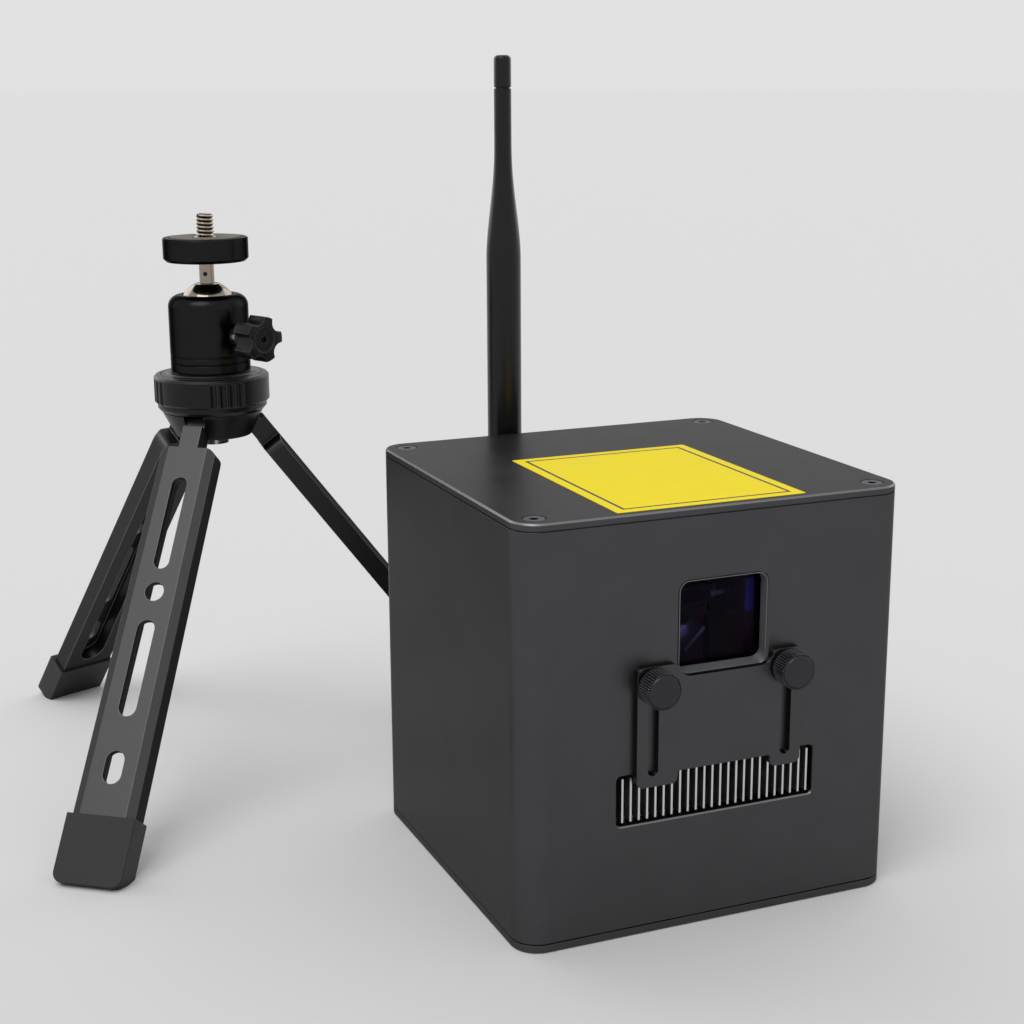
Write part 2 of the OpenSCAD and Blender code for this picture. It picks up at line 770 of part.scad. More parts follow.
// A board standing in the YZ plane on the optics base, its parts towards the middle
module upright_board(side, y0, y1, h) {
    x = side * driver_board_x;
    inner = x - side * board_t;
    chip = [7, 5, 10];
    chip_z = optics_z + 6;
    can_r = 4;
    can_l = 7;
    color([0.05, 0.25, 0.15]) translate([min(x, inner), y0, optics_z]) cube([board_t, y1 - y0, h]);
    color([0.1, 0.1, 0.1]) for (i = [0 : 3])
        translate([side > 0 ? inner - chip[0] : inner, y0 + 4 + i * (y1 - y0 - 8) / 4, chip_z]) cube(chip);
    color([0.15, 0.15, 0.3]) for (i = [0 : 1])
        translate([inner, y0 + 2 * can_r + 1 + i * (y1 - y0) / 2, optics_z + h - can_r - 6])
            rotate([0, -side * 90, 0]) cylinder(r = can_r, h = can_l);
}

module galvo_driver_board() {
    upright_board(1, beam_y + driver_board_start, sink_rear_y - 2, driver_board_h);
}

module laser_driver_board() {
    upright_board(-1, beam_y + laser_board_start, sink_rear_y - 2, laser_board_h);
}

module power_board() {
    part_z = power_board_z + board_t;
    color([0.05, 0.25, 0.15]) translate([-power_board_size[0] / 2, power_board_y, power_board_z])
        cube(power_board_size);
    color([0.15, 0.15, 0.3]) for (i = [0 : 3])
        translate([(i - 1.5) * power_can_pitch - 1, power_board_y + power_rows[0], part_z])
            cylinder(r = power_can_r, h = power_can_l);
    color([0.1, 0.1, 0.1]) translate([-power_choke[0] - 4, power_board_y + power_rows[1], part_z])
        cube(power_choke);
    color([0.1, 0.1, 0.1]) translate([6, power_board_y + power_rows[1], part_z]) cube(power_relay);
}

module main_board() {
    chip = [12, 2.5, 12];
    color([0.05, 0.25, 0.15]) translate([main_board_x, main_board_y, main_board_z]) cube(main_board_size);
    color([0.1, 0.1, 0.1]) for (x = [18, 42, 64])
        translate([main_board_x + x, main_board_y - chip[1], main_board_z + 14]) cube(chip);
}

module board_spacers() {
    inset = 4;
    color([0.7, 0.7, 0.72]) {
        for (x = [-1, 1], y = [inset, power_board_size[1] - inset])
            translate([x * (power_board_size[0] / 2 - inset), power_board_y + y, bottom_t])
                cylinder(r = spacer_r, h = power_board_z - bottom_t);
        for (x = [inset, main_board_size[0] - inset], z = [inset, main_board_size[2] - inset])
            translate([main_board_x + x, 0, main_board_z + z])
                rod_y(spacer_r, main_board_y + board_t, inner_rear_y);
    }
}

// Rear panel

module fan_frame() {
    color([0.1, 0.1, 0.1]) translate([fan_x, 0, fan_z]) {
        difference() {
            pane(fan_y, fan_t) rounded_rect(fan_size, fan_size, 3);
            rod_y(fan_size / 2 - 1.5, fan_y - 1, inner_rear_y + 1);
            for (x = [-1, 1], z = [-1, 1]) translate([x * fan_hole, 0, z * fan_hole])
                rod_y(screw_r, fan_y - 1, inner_rear_y + 1);
        }
        rod_y(rotor_hub_r, inner_rear_y - fan_plate_t, inner_rear_y);
        rod_y(2.5 - running_gap, fan_y + 4, inner_rear_y - fan_plate_t);
        for (a = [45 : 90 : 315]) rotate([0, a, 0]) translate([-1.5, inner_rear_y - fan_plate_t, 0])
            cube([3, fan_plate_t, fan_size / 2 - 1]);
    }
}

module fan_rotor() {
    hub_y0 = fan_y + 1;
    hub_y1 = inner_rear_y - fan_plate_t - 0.3;
    color([0.12, 0.12, 0.12]) translate([fan_x, 0, fan_z]) {
        difference() {
            rod_y(rotor_hub_r - 0.5, hub_y0, hub_y1);
            rod_y(2.5, hub_y0 + 2.8, hub_y1 + 1);
        }
        intersection() {
            for (i = [0 : blade_count - 1]) rotate([0, i * 360 / blade_count, 0])
                translate([0, (hub_y0 + hub_y1) / 2, rotor_hub_r - 1]) rotate([0, 0, 38])
                    translate([-7, -0.6, 0]) cube([14, 1.2, rotor_r]);
            difference() {
                rod_y(rotor_r, hub_y0, hub_y1);
                rod_y(rotor_hub_r - 1, hub_y0 - 1, hub_y1 + 1);
            }
        }
    }
}

module rear_screws() {
    button_h = 1.8;
    color([0.2, 0.2, 0.2]) {
        for (x = [-1, 1], z = [-1, 1]) translate([fan_x + x * fan_hole, 0, fan_z + z * fan_hole]) {
            rod_y(screw_r, fan_y + 2, rear_y);
            difference() {
                rod_y(2.8, rear_y, rear_y + button_h);
                translate([0, rear_y + button_h - 1, 0]) rotate([-90, 0, 0])
                    cylinder(d = socket_af / cos(30), h = 2, $fn = 6);
            }
        }
        for (x = [-1, 1]) translate([data_x + x * data_screw_x, 0, data_z]) {
            rod_y(screw_r, inner_rear_y - 2, rear_y + flange_proud);
            translate([0, rear_y + flange_proud, 0]) rotate([-90, 0, 0]) cylinder(r = 2.7, h = 5, $fn = 6);
        }
    }
}

module power_jack() {
    collar_h = 2;
    bore_y = rear_y - 9;
    color([0.08, 0.08, 0.08]) translate([-panel_x, 0, jack_z]) {
        difference() {
            union() {
                rod_y(jack_r, inner_rear_y - 8, rear_y);
                rod_y(jack_r + 1.5, rear_y, rear_y + collar_h);
            }
            rod_y(jack_bore_r, bore_y, rear_y + collar_h + 1);
        }
        rod_y(jack_pin_r, bore_y - 0.5, rear_y + 1);
    }
}

module switch_housing() {
    bezel_h = 2;
    body_l = 10;
    rim = 2;
    color([0.08, 0.08, 0.08]) translate([-panel_x, 0, switch_z]) difference() {
        union() {
            pane(rear_y, bezel_h) rounded_rect(switch_w, switch_h, 1.5);
            pane(inner_rear_y - body_l, wall + body_l)
                square([switch_w - 2 - 2 * fit_gap, switch_h - 2 - 2 * fit_gap], center = true);
        }
        pane(rear_y - 7, 7 + bezel_h + 1) square([switch_w - 2 * rim, switch_h - 2 * rim], center = true);
        translate([0, rocker_y, 0]) rod_x(trunnion_r + running_gap, -switch_w / 2, switch_w / 2);
    }
}

module switch_rocker() {
    rocker_w = switch_w - 4.6;
    half_h = (switch_h - 5) / 2 - 0.6;
    color([0.12, 0.12, 0.12]) translate([-panel_x, rocker_y, switch_z]) rotate([rocker_angle / 2, 0, 0]) {
        translate([-rocker_w / 2, 0, 0]) rotate([90, 0, 90]) linear_extrude(rocker_w) polygon([
            [-4.5, -2], [-4.5, 2], [-0.5, half_h], [3.4, half_h], [2, 0], [3.4, -half_h], [-0.5, -half_h]
        ]);
        translate([-rocker_w / 2 - 1, 0, 0]) rotate([0, 90, 0]) cylinder(r = trunnion_r, h = rocker_w + 2);
    }
}

module key_lock() {
    color([0.75, 0.75, 0.77]) translate([-panel_x, 0, lock_z]) difference() {
        union() {
            rod_y(lock_r - fit_gap, rear_y - lock_l, rear_y);
            rod_y(lock_r + 2, rear_y, rear_y + lock_face_h);
        }
        rod_y(key_r + running_gap, rear_y - key_depth - 0.5, rear_y + lock_face_h + 1);
    }
}

module key() {
    face_y = rear_y + lock_face_h;
    bow_r = 9;
    blade_t = 2;
    color([0.8, 0.8, 0.82]) translate([-panel_x, 0, lock_z]) {
        rod_y(key_r, rear_y - key_depth, face_y);
        translate([-blade_t / 2, face_y - 0.5, -3]) cube([blade_t, key_l - 2 * bow_r + 1.5, 6]);
        difference() {
            translate([0, face_y + key_l - bow_r, 0]) rod_x(bow_r, -blade_t / 2, blade_t / 2);
            translate([0, face_y + key_l - bow_r + 3.5, 0]) rod_x(3, -blade_t, blade_t);
        }
    }
}

module data_connector() {
    back_y = main_board_y + board_t;
    color([0.7, 0.7, 0.72]) translate([data_x, 0, data_z]) {
        pane(back_y, rear_y - back_y) square([data_hole[0] - 1, data_hole[1] - 1], center = true);
        difference() {
            pane(rear_y, flange_proud) rounded_rect(53, 12.5, 2);
            for (x = [-1, 1]) translate([x * data_screw_x, 0, 0])
                rod_y(screw_r, rear_y - 1, rear_y + flange_proud + 1);
        }
        pane(rear_y, 6) polygon([[-19.4, 4.1], [19.4, 4.1], [18, -4.1], [-18, -4.1]]);
    }
}

module network_jack() {
    back_y = main_board_y + board_t;
    color([0.1, 0.1, 0.1]) translate([-panel_x, 0, network_z]) difference() {
        pane(back_y, rear_y + 0.5 - back_y)
            square([network_hole[0] - 2 * fit_gap, network_hole[1] - 2 * fit_gap], center = true);
        pane(rear_y - 12, 14) translate([0, -0.5]) square(network_mouth, center = true);
    }
}

// Antenna

module antenna_socket() {
    color([0.8, 0.65, 0.3]) translate([-antenna_x, 0, antenna_z]) {
        rod_y(socket_r - fit_gap, main_board_y + board_t, rear_y + socket_l);
        translate([0, rear_y, 0]) rotate([-90, 0, 0]) cylinder(d = 8 / cos(30), h = nut_h, $fn = 6);
    }
}

module antenna_knuckle() {
    start_y = rear_y + nut_h + 0.2;
    fork_y = antenna_y - ear_r - 0.2;
    color([0.06, 0.06, 0.06]) translate([-antenna_x, 0, antenna_z]) difference() {
        union() {
            rod_y(knuckle_r, start_y, fork_y);
            translate([0, antenna_y, 0]) rod_x(ear_r, -knuckle_r, knuckle_r);
            translate([-knuckle_r, fork_y - 0.3, -ear_r]) cube([2 * knuckle_r, ear_r + 0.5, 2 * ear_r]);
        }
        rod_y(socket_r - fit_gap + running_gap, rear_y + 1, rear_y + socket_l + 0.4);
        translate([-ear_gap / 2, fork_y + 0.1, -2 * ear_r]) cube([ear_gap, 3 * ear_r, 4 * ear_r]);
        translate([0, antenna_y, 0]) rod_x(hinge_r, -2 * knuckle_r, 2 * knuckle_r);
    }
}

module antenna_rod() {
    straight = rod_l - taper_l - tip_l;
    color([0.06, 0.06, 0.06]) translate([-antenna_x, antenna_y, antenna_z]) {
        rotate_extrude() polygon([
            [0, rod_base], [rod_r - 1, rod_base], [rod_r, rod_base + 1], [rod_r, straight],
            [tip_r + 0.35 * (rod_r - tip_r), straight + 0.55 * taper_l], [tip_r, straight + taper_l],
            [tip_r, rod_l - cap_l - 0.6], [tip_r - 0.4, rod_l - cap_l - 0.6],
            [tip_r - 0.4, rod_l - cap_l], [tip_r, rod_l - cap_l], [tip_r, rod_l - 1.5],
            [tip_r - 0.6, rod_l - 0.4], [tip_r - 1.4, rod_l], [0, rod_l]
        ]);
        rod_x(tang_r, -tang_w / 2, tang_w / 2);
        translate([-tang_w / 2, -tang_r, 0]) cube([tang_w, 2 * tang_r, rod_base + 1]);
        rod_x(hinge_r - running_gap, -knuckle_r + 0.2, knuckle_r - 0.2);
    }
}

// Masking shutter

module shutter_plate() {
    cut_w = frame_w + 2 * shutter_side_gap;
    left_w = shutter_w / 2 + window_x - cut_w / 2;
    right_w = shutter_w / 2 - window_x - cut_w / 2;
    arm_h = shutter_top - shutter_bottom;
    notch_z = vent_z + vent_h;
    color([0.08, 0.08, 0.09]) pane(shutter_y, shutter_t) difference() {
        union() {
            translate([(left_w - shutter_w) / 2, shutter_bottom + arm_h / 2])
                rounded_rect(left_w, arm_h, shutter_r);
            translate([(shutter_w - right_w) / 2, shutter_bottom + arm_h / 2])
                rounded_rect(right_w, arm_h, shutter_r);
            translate([window_x - cut_w / 2 - shutter_r, notch_z])
                square([cut_w + 2 * shutter_r, shutter_top - shutter_r - notch_z]);
        }
        translate([window_x, ear_cut_z + frame_h / 2]) rounded_rect(cut_w, frame_h, frame_r);
        for (x = [-slot_x, slot_x]) translate([x, 0]) slot(slot_end_z, thumb_z, slot_w);
    }
}

// An upright slot in the plane, between the centres of its round ends
module slot(z0, z1, w) {
    translate([-w / 2, z0]) square([w, z1 - z0]);
    for (z = [z0, z1]) translate([0, z]) circle(w / 2);
}

// A thumb screw along Y: a knurled head with a turned face, and its threaded shank behind
module thumb_screw() {
    rim = 0.8;
    knurl_depth = 0.35;
    valley_r = thumb_r - knurl_depth - 0.1;
    step = 360 / (2 * knurl_count);
    ring = [for (i = [0 : 2 * knurl_count - 1])
        (i % 2 == 0 ? thumb_r : thumb_r - knurl_depth) * [cos(i * step), sin(i * step)]];
    color([0.35, 0.35, 0.36]) {
        pane(thumb_y + rim, thumb_h - 2 * rim) polygon(ring);
        translate([0, thumb_y, 0]) rotate([-90, 0, 0])
            cylinder(r1 = valley_r - rim, r2 = valley_r, h = rim);
        translate([0, thumb_y + thumb_h - rim, 0]) rotate([-90, 0, 0])
            cylinder(r1 = valley_r, r2 = valley_r - rim, h = rim);
        rod_y(screw_r, thumb_y + 1, shutter_y + thumb_l);
    }
}

module thumb_screw_left() {
    translate([-slot_x, 0, thumb_z]) thumb_screw();
}

module thumb_screw_right() {
    translate([slot_x, 0, thumb_z]) thumb_screw();
}

// Tripod

// Puts a shape on the tripod's axis
module on_axis(z = 0) {
    translate([-tripod_x, tripod_y, z]) children();
}

// Puts a leg's shape, drawn hanging from its pin with its outer face towards +X, in its spread place
module on_pin(bearing) {
    on_axis(pin_z) rotate([0, 0, bearing]) translate([pin_reach, 0, 0]) rotate([0, -spread, 0]) children();
}

module tripod_hub() {
    gap_w = tongue_w + 2 * tongue_gap;
    gap_top = tongue_r + 0.5;
    color([0.1, 0.1, 0.1]) difference() {
        union() {
            on_axis(flange_z) rotate_extrude() polygon([
                [0, 0], [hub_r - 4, 0], [hub_r - 1, 0.8], [hub_r, 2], [hub_r, flange_t], [0, flange_t]
            ]);
            on_axis(flange_z - skirt_h) cylinder(r1 = skirt_end_r, r2 = skirt_r, h = skirt_h + 0.4);
            on_axis(flange_top - 0.5) cylinder(r = neck_r, h = collar_h + 0.5);
        }
        for (b = bearings) on_axis(pin_z) rotate([0, 0, b]) {
            translate([pin_reach - tongue_r - 1.5, -gap_w / 2, -20]) cube([20, gap_w, 20 + gap_top]);
            translate([pin_reach, 0, 0]) rotate([90, 0, 0]) translate([0, 0, -leg_pin_l / 2 - pin_end_gap])
                cylinder(r = pin_r, h = leg_pin_l + 2 * pin_end_gap);
        }
        on_axis(flange_z - skirt_h - 1) cylinder(r = bolt_r, h = bolt_l + 1.5);
    }
}

module hub_bolt() {
    head_h = 3;
    color([0.7, 0.7, 0.72]) on_axis(flange_z - skirt_h) {
        translate([0, 0, -head_h]) difference() {
            cylinder(r = bolt_r + 2, h = head_h);
            translate([0, 0, -1]) cylinder(d = 4.6, h = head_h, $fn = 6);
        }
        cylinder(r = bolt_r - fit_gap, h = bolt_l);
    }
}

module leg_pins() {
    color([0.6, 0.6, 0.62]) for (b = bearings) on_axis(pin_z) rotate([0, 0, b])
        translate([pin_reach, 0, 0]) rotate([90, 0, 0]) translate([0, 0, -leg_pin_l / 2])
            cylinder(r = pin_r, h = leg_pin_l);
}

// Half of a leg's width at a distance from its pin
function leg_half(s) = (leg_top_w + (leg_end_w - leg_top_w) * s / leg_l) / 2;

// A leg's outline, hanging down from the pin along -y, with round shoulders at its top
module leg_outline() {
    round_r = 3;
    shoulder_x = leg_half(leg_shoulder + round_r) - round_r;
    arc = [for (a = [0 : 15 : 90]) round_r * [cos(a), sin(a)]];
    polygon(concat(
        [for (p = arc) [shoulder_x + p[0], p[1] - leg_shoulder - round_r]],
        [for (p = arc) [-shoulder_x - p[1], p[0] - leg_shoulder - round_r]],
        [[-leg_half(leg_end), -leg_end], [leg_half(leg_end), -leg_end]]
    ));
}

// The channel along a leg's back, with round ends, from below its shoulder to just above the foot
module leg_pocket() {
    head_l = 9;
    above_foot = 4;
    w0 = leg_half(leg_shoulder) - leg_wall;
    w1 = leg_half(leg_l) - leg_wall;
    start = leg_shoulder + head_l + w0;
    end = leg_l - foot_l - above_foot - w1;
    polygon([[-w0, -start], [w0, -start], [w1, -end], [-w1, -end]]);
    translate([0, -start]) circle(w0);
    translate([0, -end]) circle(w1);
}

// The openings through a leg's web: two long slots, a round hole between them and a short slot
module leg_openings() {
    translate([0, -leg_l * 0.236]) slot(-leg_l * 0.098, leg_l * 0.076, 5.3);
    translate([0, -leg_l * 0.402]) circle(3.2);
    translate([0, -leg_l * 0.567]) slot(-leg_l * 0.084, leg_l * 0.083, 6);
    translate([0, -leg_l * 0.776]) slot(-leg_l * 0.014, leg_l * 0.014, 6.2);
}

// A flat shape drawn in the leg's own plane, from the depth x0 to x0 + t
module leg_layer(x0, t) {
    translate([x0, 0, 0]) rotate([90, 0, 90]) linear_extrude(t) children();
}

// What a bevel takes off the outer edge of a leg, along its tapered side
module leg_bevel() {
    taper = atan2(leg_half(leg_l) - leg_half(0), leg_l);
    translate([leg_t - leg_back - leg_bevel_h, leg_half(0), 0]) rotate([taper, 0, 0])
        rotate([0, 0, atan2(leg_bevel_h, leg_bevel_w)]) translate([0, -2 * leg_bevel_w, -leg_l - 5])
            cube([2 * leg_bevel_h, 4 * leg_bevel_w, leg_l + 5]);
}

module leg(bearing) {
    color([0.12, 0.12, 0.12]) on_pin(bearing) {
        difference() {
            leg_layer(-leg_back, leg_t) difference() {
                leg_outline();
                leg_openings();
            }
            leg_layer(-leg_back - 1, leg_t - web_t + 1) leg_pocket();
            leg_bevel();
            mirror([0, 1, 0]) leg_bevel();
        }
        difference() {
            union() {
                translate([-tongue_r, -tongue_w / 2, -leg_shoulder - 1])
                    cube([2 * tongue_r, tongue_w, leg_shoulder + 1]);
                translate([-tongue_r, -tongue_w / 2, -leg_shoulder - 1])
                    cube([tongue_r + leg_t - leg_back, tongue_w, leg_shoulder + 1 - tongue_step]);
                translate([0, tongue_w / 2, 0]) rotate([90, 0, 0]) cylinder(r = tongue_r, h = tongue_w);
            }
            translate([0, tongue_w, 0]) rotate([90, 0, 0])
                cylinder(r = pin_r + running_gap, h = 2 * tongue_w);
        }
    }
}

// A leg's foot: a cap over the leg's end with round lower corners, cut off level with the floor
module foot(bearing) {
    corner = 3.5;
    below = 2;
    half = leg_half(leg_l) + foot_proud;
    space = 2 * (foot_reach + foot_l);
    color([0.08, 0.08, 0.08]) intersection() {
        on_pin(bearing) leg_layer(-leg_back - foot_proud, leg_t + 2 * foot_proud)
            translate([0, -leg_l - below]) {
                translate([-half, corner]) square([2 * half, foot_l + below - corner]);
                translate([-half + corner, 0]) square([2 * (half - corner), corner + 1]);
                for (x = [-1, 1]) translate([x * (half - corner), corner]) circle(corner);
            }
        on_axis() translate([-space / 2, -space / 2, 0]) cube([space, space, pin_z / 2]);
    }
}

module leg_front() { leg(bearings[0]); }
module leg_left() { leg(bearings[1]); }
module leg_right() { leg(bearings[2]); }
module foot_front() { foot(bearings[0]); }
module foot_left() { foot(bearings[1]); }
module foot_right() { foot(bearings[2]); }

module lock_collar() {
    groove_r = 1.2;
    groove_step = 9.5;
    groove_bearing = front_leg_bearing + 25;
    color([0.12, 0.12, 0.12]) on_axis(flange_top + slide_gap) difference() {
        rotate_extrude() polygon([
            [neck_r + running_gap, 0], [collar_r - 0.6, 0], [collar_r, 0.6], [collar_r, collar_h - 1.8],
            [collar_r - 0.7, collar_h - 1.1], [collar_r - 2.2, collar_h - 0.8],
            [collar_r - 2.2, collar_h - 1.2], [collar_r - 2.6, collar_h - 1.2],
            [collar_r - 2.6, collar_h - 0.8], [collar_r - 4.2, collar_h - 0.6],
            [collar_r - 4.6, collar_h - 0.2], [neck_r + running_gap, collar_h - 0.2]
        ]);
        for (group = [0 : 3], i = [0 : 3]) rotate([0, 0, groove_bearing + group * 90 + i * groove_step])
            translate([collar_r + 0.4, 0, -1]) cylinder(r = groove_r, h = collar_h - 1.4);
    }
}

module head_base() {
    lip_h = 0.4;
    color([0.1, 0.1, 0.1]) on_axis(collar_top) {
        cylinder(r = neck_r - 2, h = head_z - collar_top);
        translate([0, 0, head_z - collar_top]) {
            cylinder(r = head_r, h = head_base_h - lip_h);
            cylinder(r = head_r - 0.6, h = head_base_h);
            cylinder(r = pivot_r, h = head_base_h + pivot_h);
        }
    }
}

module ball_housing() {
    cup_z = head_h - ball_drop;
    open_r = sqrt(pow(ball_r, 2) - pow(ball_drop, 2)) + 0.4;
    groove = [0.4, 0.5];
    groove_z = 2;
    color([0.1, 0.1, 0.1]) on_axis(housing_z) difference() {
        rotate_extrude() difference() {
            union() {
                translate([0, slide_gap]) square([head_r, head_h - head_round - slide_gap]);
                translate([0, slide_gap]) square([head_r - head_round, head_h - slide_gap]);
                translate([head_r - head_round, head_h - head_round]) circle(head_round);
            }
            translate([-head_r, -1]) square([head_r, head_h + 2]);
            square([pivot_r + running_gap, pivot_h + slide_gap]);
            translate([0, cup_z]) circle(ball_r + running_gap);
            translate([0, cup_z + 2]) square([open_r, head_h]);
            translate([head_r - groove[0], groove_z]) square([1, groove[1]]);
        }
        translate([0, 0, clamp_z - housing_z]) rotate([0, 0, clamp_bearing])
            rod_x(clamp_r + running_gap, 0, head_r + 5);
    }
}

module clamp_shank() {
    color([0.8, 0.8, 0.82]) on_axis(clamp_z) rotate([0, 0, clamp_bearing])
        rod_x(clamp_r, ball_r + 0.6, head_r + clamp_knob_gap + knob_seat);
}

// The clamp knob: a round grip with a hollow for each finger, a dished face and the shank's seat
module clamp_knob() {
    step = 360 / lobe_count;
    hollow_r = clamp_knob_r * 0.42;
    hollow_depth = 1.9;
    dish = [clamp_knob_r * 0.55, 0.5];
    color([0.1, 0.1, 0.1]) on_axis(clamp_z) rotate([0, 0, clamp_bearing]) rotate([0, 90, 0])
        translate([0, 0, head_r + clamp_knob_gap]) difference() {
            linear_extrude(clamp_knob_l) difference() {
                circle(clamp_knob_r);
                for (i = [0 : lobe_count - 1]) rotate((i + 0.5) * step + 20)
                    translate([clamp_knob_r + hollow_r - hollow_depth, 0]) circle(hollow_r);
            }
            translate([0, 0, -1]) cylinder(r = clamp_r, h = knob_seat + 1);
            translate([0, 0, clamp_knob_l - dish[1]]) cylinder(r = dish[0], h = 1);
            translate([0, 0, clamp_knob_l - 2]) cylinder(r = 1.2, h = 3);
        }
}

module ball_stem() {
    collar_depth = 1.1;
    pin_hole_r = 0.7;
    color([0.8, 0.8, 0.82]) on_axis(ball_z) difference() {
        union() {
            sphere(ball_r);
            cylinder(r = stem_r, h = stem_l);
        }
        translate([0, 0, ball_r - collar_depth]) difference() {
            cylinder(r = stem_r + 1.7, h = 4);
            translate([0, 0, -1]) cylinder(r = stem_r, h = 6);
        }
        translate([0, 0, ball_r + 2.4]) rotate([0, 0, clamp_bearing - 50])
            rod_x(pin_hole_r, -2 * stem_r, 2 * stem_r);
    }
}

module platform_disc() {
    seat_r = pad_r + 0.3;
    seat_z = platform_t + pad_proud - pad_t;
    color([0.1, 0.1, 0.1]) on_axis(platform_z + slide_gap) rotate_extrude() polygon([
        [0, 0], [platform_r - 1, 0], [platform_r, 1], [platform_r, platform_t - 0.4],
        [platform_r - 0.4, platform_t], [seat_r, platform_t], [seat_r, seat_z],
        [screw_shoulder_r, seat_z], [screw_shoulder_r, screw_seat], [0, screw_seat]
    ]);
}

module platform_pad() {
    color([0.2, 0.2, 0.2]) on_axis(pad_top - pad_t) difference() {
        cylinder(r = pad_r, h = pad_t);
        translate([0, 0, -1]) cylinder(r = screw_shoulder_r + 0.2, h = pad_t + 2);
    }
}

// The camera screw: a shoulder pressed into the disc, flush with the pad, and its thread above
module camera_screw() {
    bevel = 0.8;
    foot_z = platform_z + slide_gap + screw_seat;
    shoulder_h = pad_top - foot_z;
    top = shoulder_h + camera_screw_l;
    color([0.75, 0.75, 0.77]) on_axis(foot_z) rotate_extrude() polygon([
        [0, 0], [screw_shoulder_r, 0], [screw_shoulder_r, shoulder_h], [camera_screw_r, shoulder_h],
        [camera_screw_r, top - bevel], [camera_screw_r - bevel, top], [0, top]
    ]);
}

sleeve();
top_plate();
bottom_plate();
top_screws();
bottom_screws();
window_glass();
window_gasket();
heat_sink();
optics_base();
base_pillars();
laser_block();
diode_barrels();
combining_mirrors();
mirror_posts();
galvo_block();
galvo_motor_x();
galvo_motor_y();
galvo_driver_board();
laser_driver_board();
power_board();
main_board();
board_spacers();
fan_frame();
rear_screws();
power_jack();
switch_housing();
key_lock();
data_connector();
network_jack();
antenna_socket();
shutter_plate();
thumb_screw_left();
thumb_screw_right();
galvo_mirror_x();
galvo_mirror_y();
fan_rotor();
switch_rocker();
key();
antenna_knuckle();
antenna_rod();
tripod_hub();
hub_bolt();
leg_pins();
head_base();
lock_collar();
leg_front();
foot_front();
leg_left();
foot_left();
leg_right();
foot_right();
ball_housing();
clamp_knob();
clamp_shank();
ball_stem();
platform_disc();
platform_pad();
camera_screw();
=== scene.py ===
"""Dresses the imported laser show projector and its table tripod, and lights them for the photograph's view.

Every length in this file is in millimetres until `MM` turns it into metres, and every colour is an sRGB
hex value until `linear` turns it into the renderer's numbers. Axes are the CAD's: +Z up, the window
towards -Y, and the origin in the middle of the projector's bottom face.
"""

from __future__ import annotations

import json
import logging
import math
from collections.abc import Iterable, Sequence
from dataclasses import dataclass, field
from enum import Enum
from typing import Protocol

import bmesh
import bpy
from mathutils import Matrix, Vector


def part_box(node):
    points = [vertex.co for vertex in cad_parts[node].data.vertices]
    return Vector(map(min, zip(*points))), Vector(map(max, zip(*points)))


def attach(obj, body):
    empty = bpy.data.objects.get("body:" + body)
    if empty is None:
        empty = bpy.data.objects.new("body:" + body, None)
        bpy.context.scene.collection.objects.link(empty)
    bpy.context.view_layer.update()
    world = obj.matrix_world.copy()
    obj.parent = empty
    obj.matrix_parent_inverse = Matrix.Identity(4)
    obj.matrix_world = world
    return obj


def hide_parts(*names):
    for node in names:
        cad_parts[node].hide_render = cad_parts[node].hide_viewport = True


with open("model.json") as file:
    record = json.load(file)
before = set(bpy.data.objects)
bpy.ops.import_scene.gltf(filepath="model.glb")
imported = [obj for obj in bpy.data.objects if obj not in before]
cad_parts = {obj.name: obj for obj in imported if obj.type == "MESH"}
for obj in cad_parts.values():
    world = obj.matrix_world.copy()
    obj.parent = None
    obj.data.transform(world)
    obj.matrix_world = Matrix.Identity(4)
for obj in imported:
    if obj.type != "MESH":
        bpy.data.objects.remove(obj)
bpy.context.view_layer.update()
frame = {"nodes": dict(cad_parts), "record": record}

LOG = logging.getLogger("projector")
MM = 0.001
IMAGE_SIDE = 1024
SENSOR_WIDTH = 36.0
# Faces that meet at more than this angle keep a sharp edge.
CREASE_DEGREES = 32.0
# Noise stays mostly between these values, so they are stretched to 0 and 1.
NOISE_SPAN = (0.3, 0.7)
# A die's marks run on along Z, so a drawn surface's noise is stretched that way.
DRAWN_SCALE = (1.0, 1.0, 0.03)
# Cosines of the turn of an edge's rounded normal at which its painted highlight begins and is full.
EDGE_HIGHLIGHT_COSINES = (0.995, 0.93)
EDGE_SAMPLES = 6

Point = tuple[float, float]
Triple = tuple[float, float, float]
Socket = bpy.types.NodeSocket
Tones = list[tuple[Socket, str]]


def linear(code: str) -> tuple[float, float, float, float]:
    """Turns an sRGB hex code into linear colour.

    Args:
        code: The colour as "#rrggbb".

    Returns:
        Red, green, blue and an alpha of one.
    """
    values = [int(code[i : i + 2], 16) / 255 for i in (1, 3, 5)]
    red, green, blue = [v / 12.92 if v <= 0.04045 else ((v + 0.055) / 1.055) ** 2.4 for v in values]
    return red, green, blue, 1.0


def add_node(
    tree: bpy.types.NodeTree, kind: str, inputs: dict[str | int, object] | None = None, **settings: object
) -> bpy.types.Node:
    """Adds one node with its settings and links.

    Args:
        tree: The shader or geometry tree.
        kind: The node's type name.
        inputs: For each socket's name or number, a value or the socket that feeds it.
        settings: The node's own properties.

    Returns:
        The new node.
    """
    node = tree.nodes.new(kind)
    for name, value in settings.items():
        setattr(node, name, value)
    for key, value in (inputs or {}).items():
        if isinstance(value, Socket):
            tree.links.new(value, node.inputs[key])
        else:
            node.inputs[key].default_value = value
    return node


class Grain(Enum):
    """How a surface was made. A drawn one has long marks, and the others an even grain."""

    BLASTED = "bead blasted"
    MOULDED = "moulded against a spark-eroded tool"
    DRAWN = "drawn lengthwise through a die"
    TURNED = "turned on a lathe"
    POLISHED = "polished"


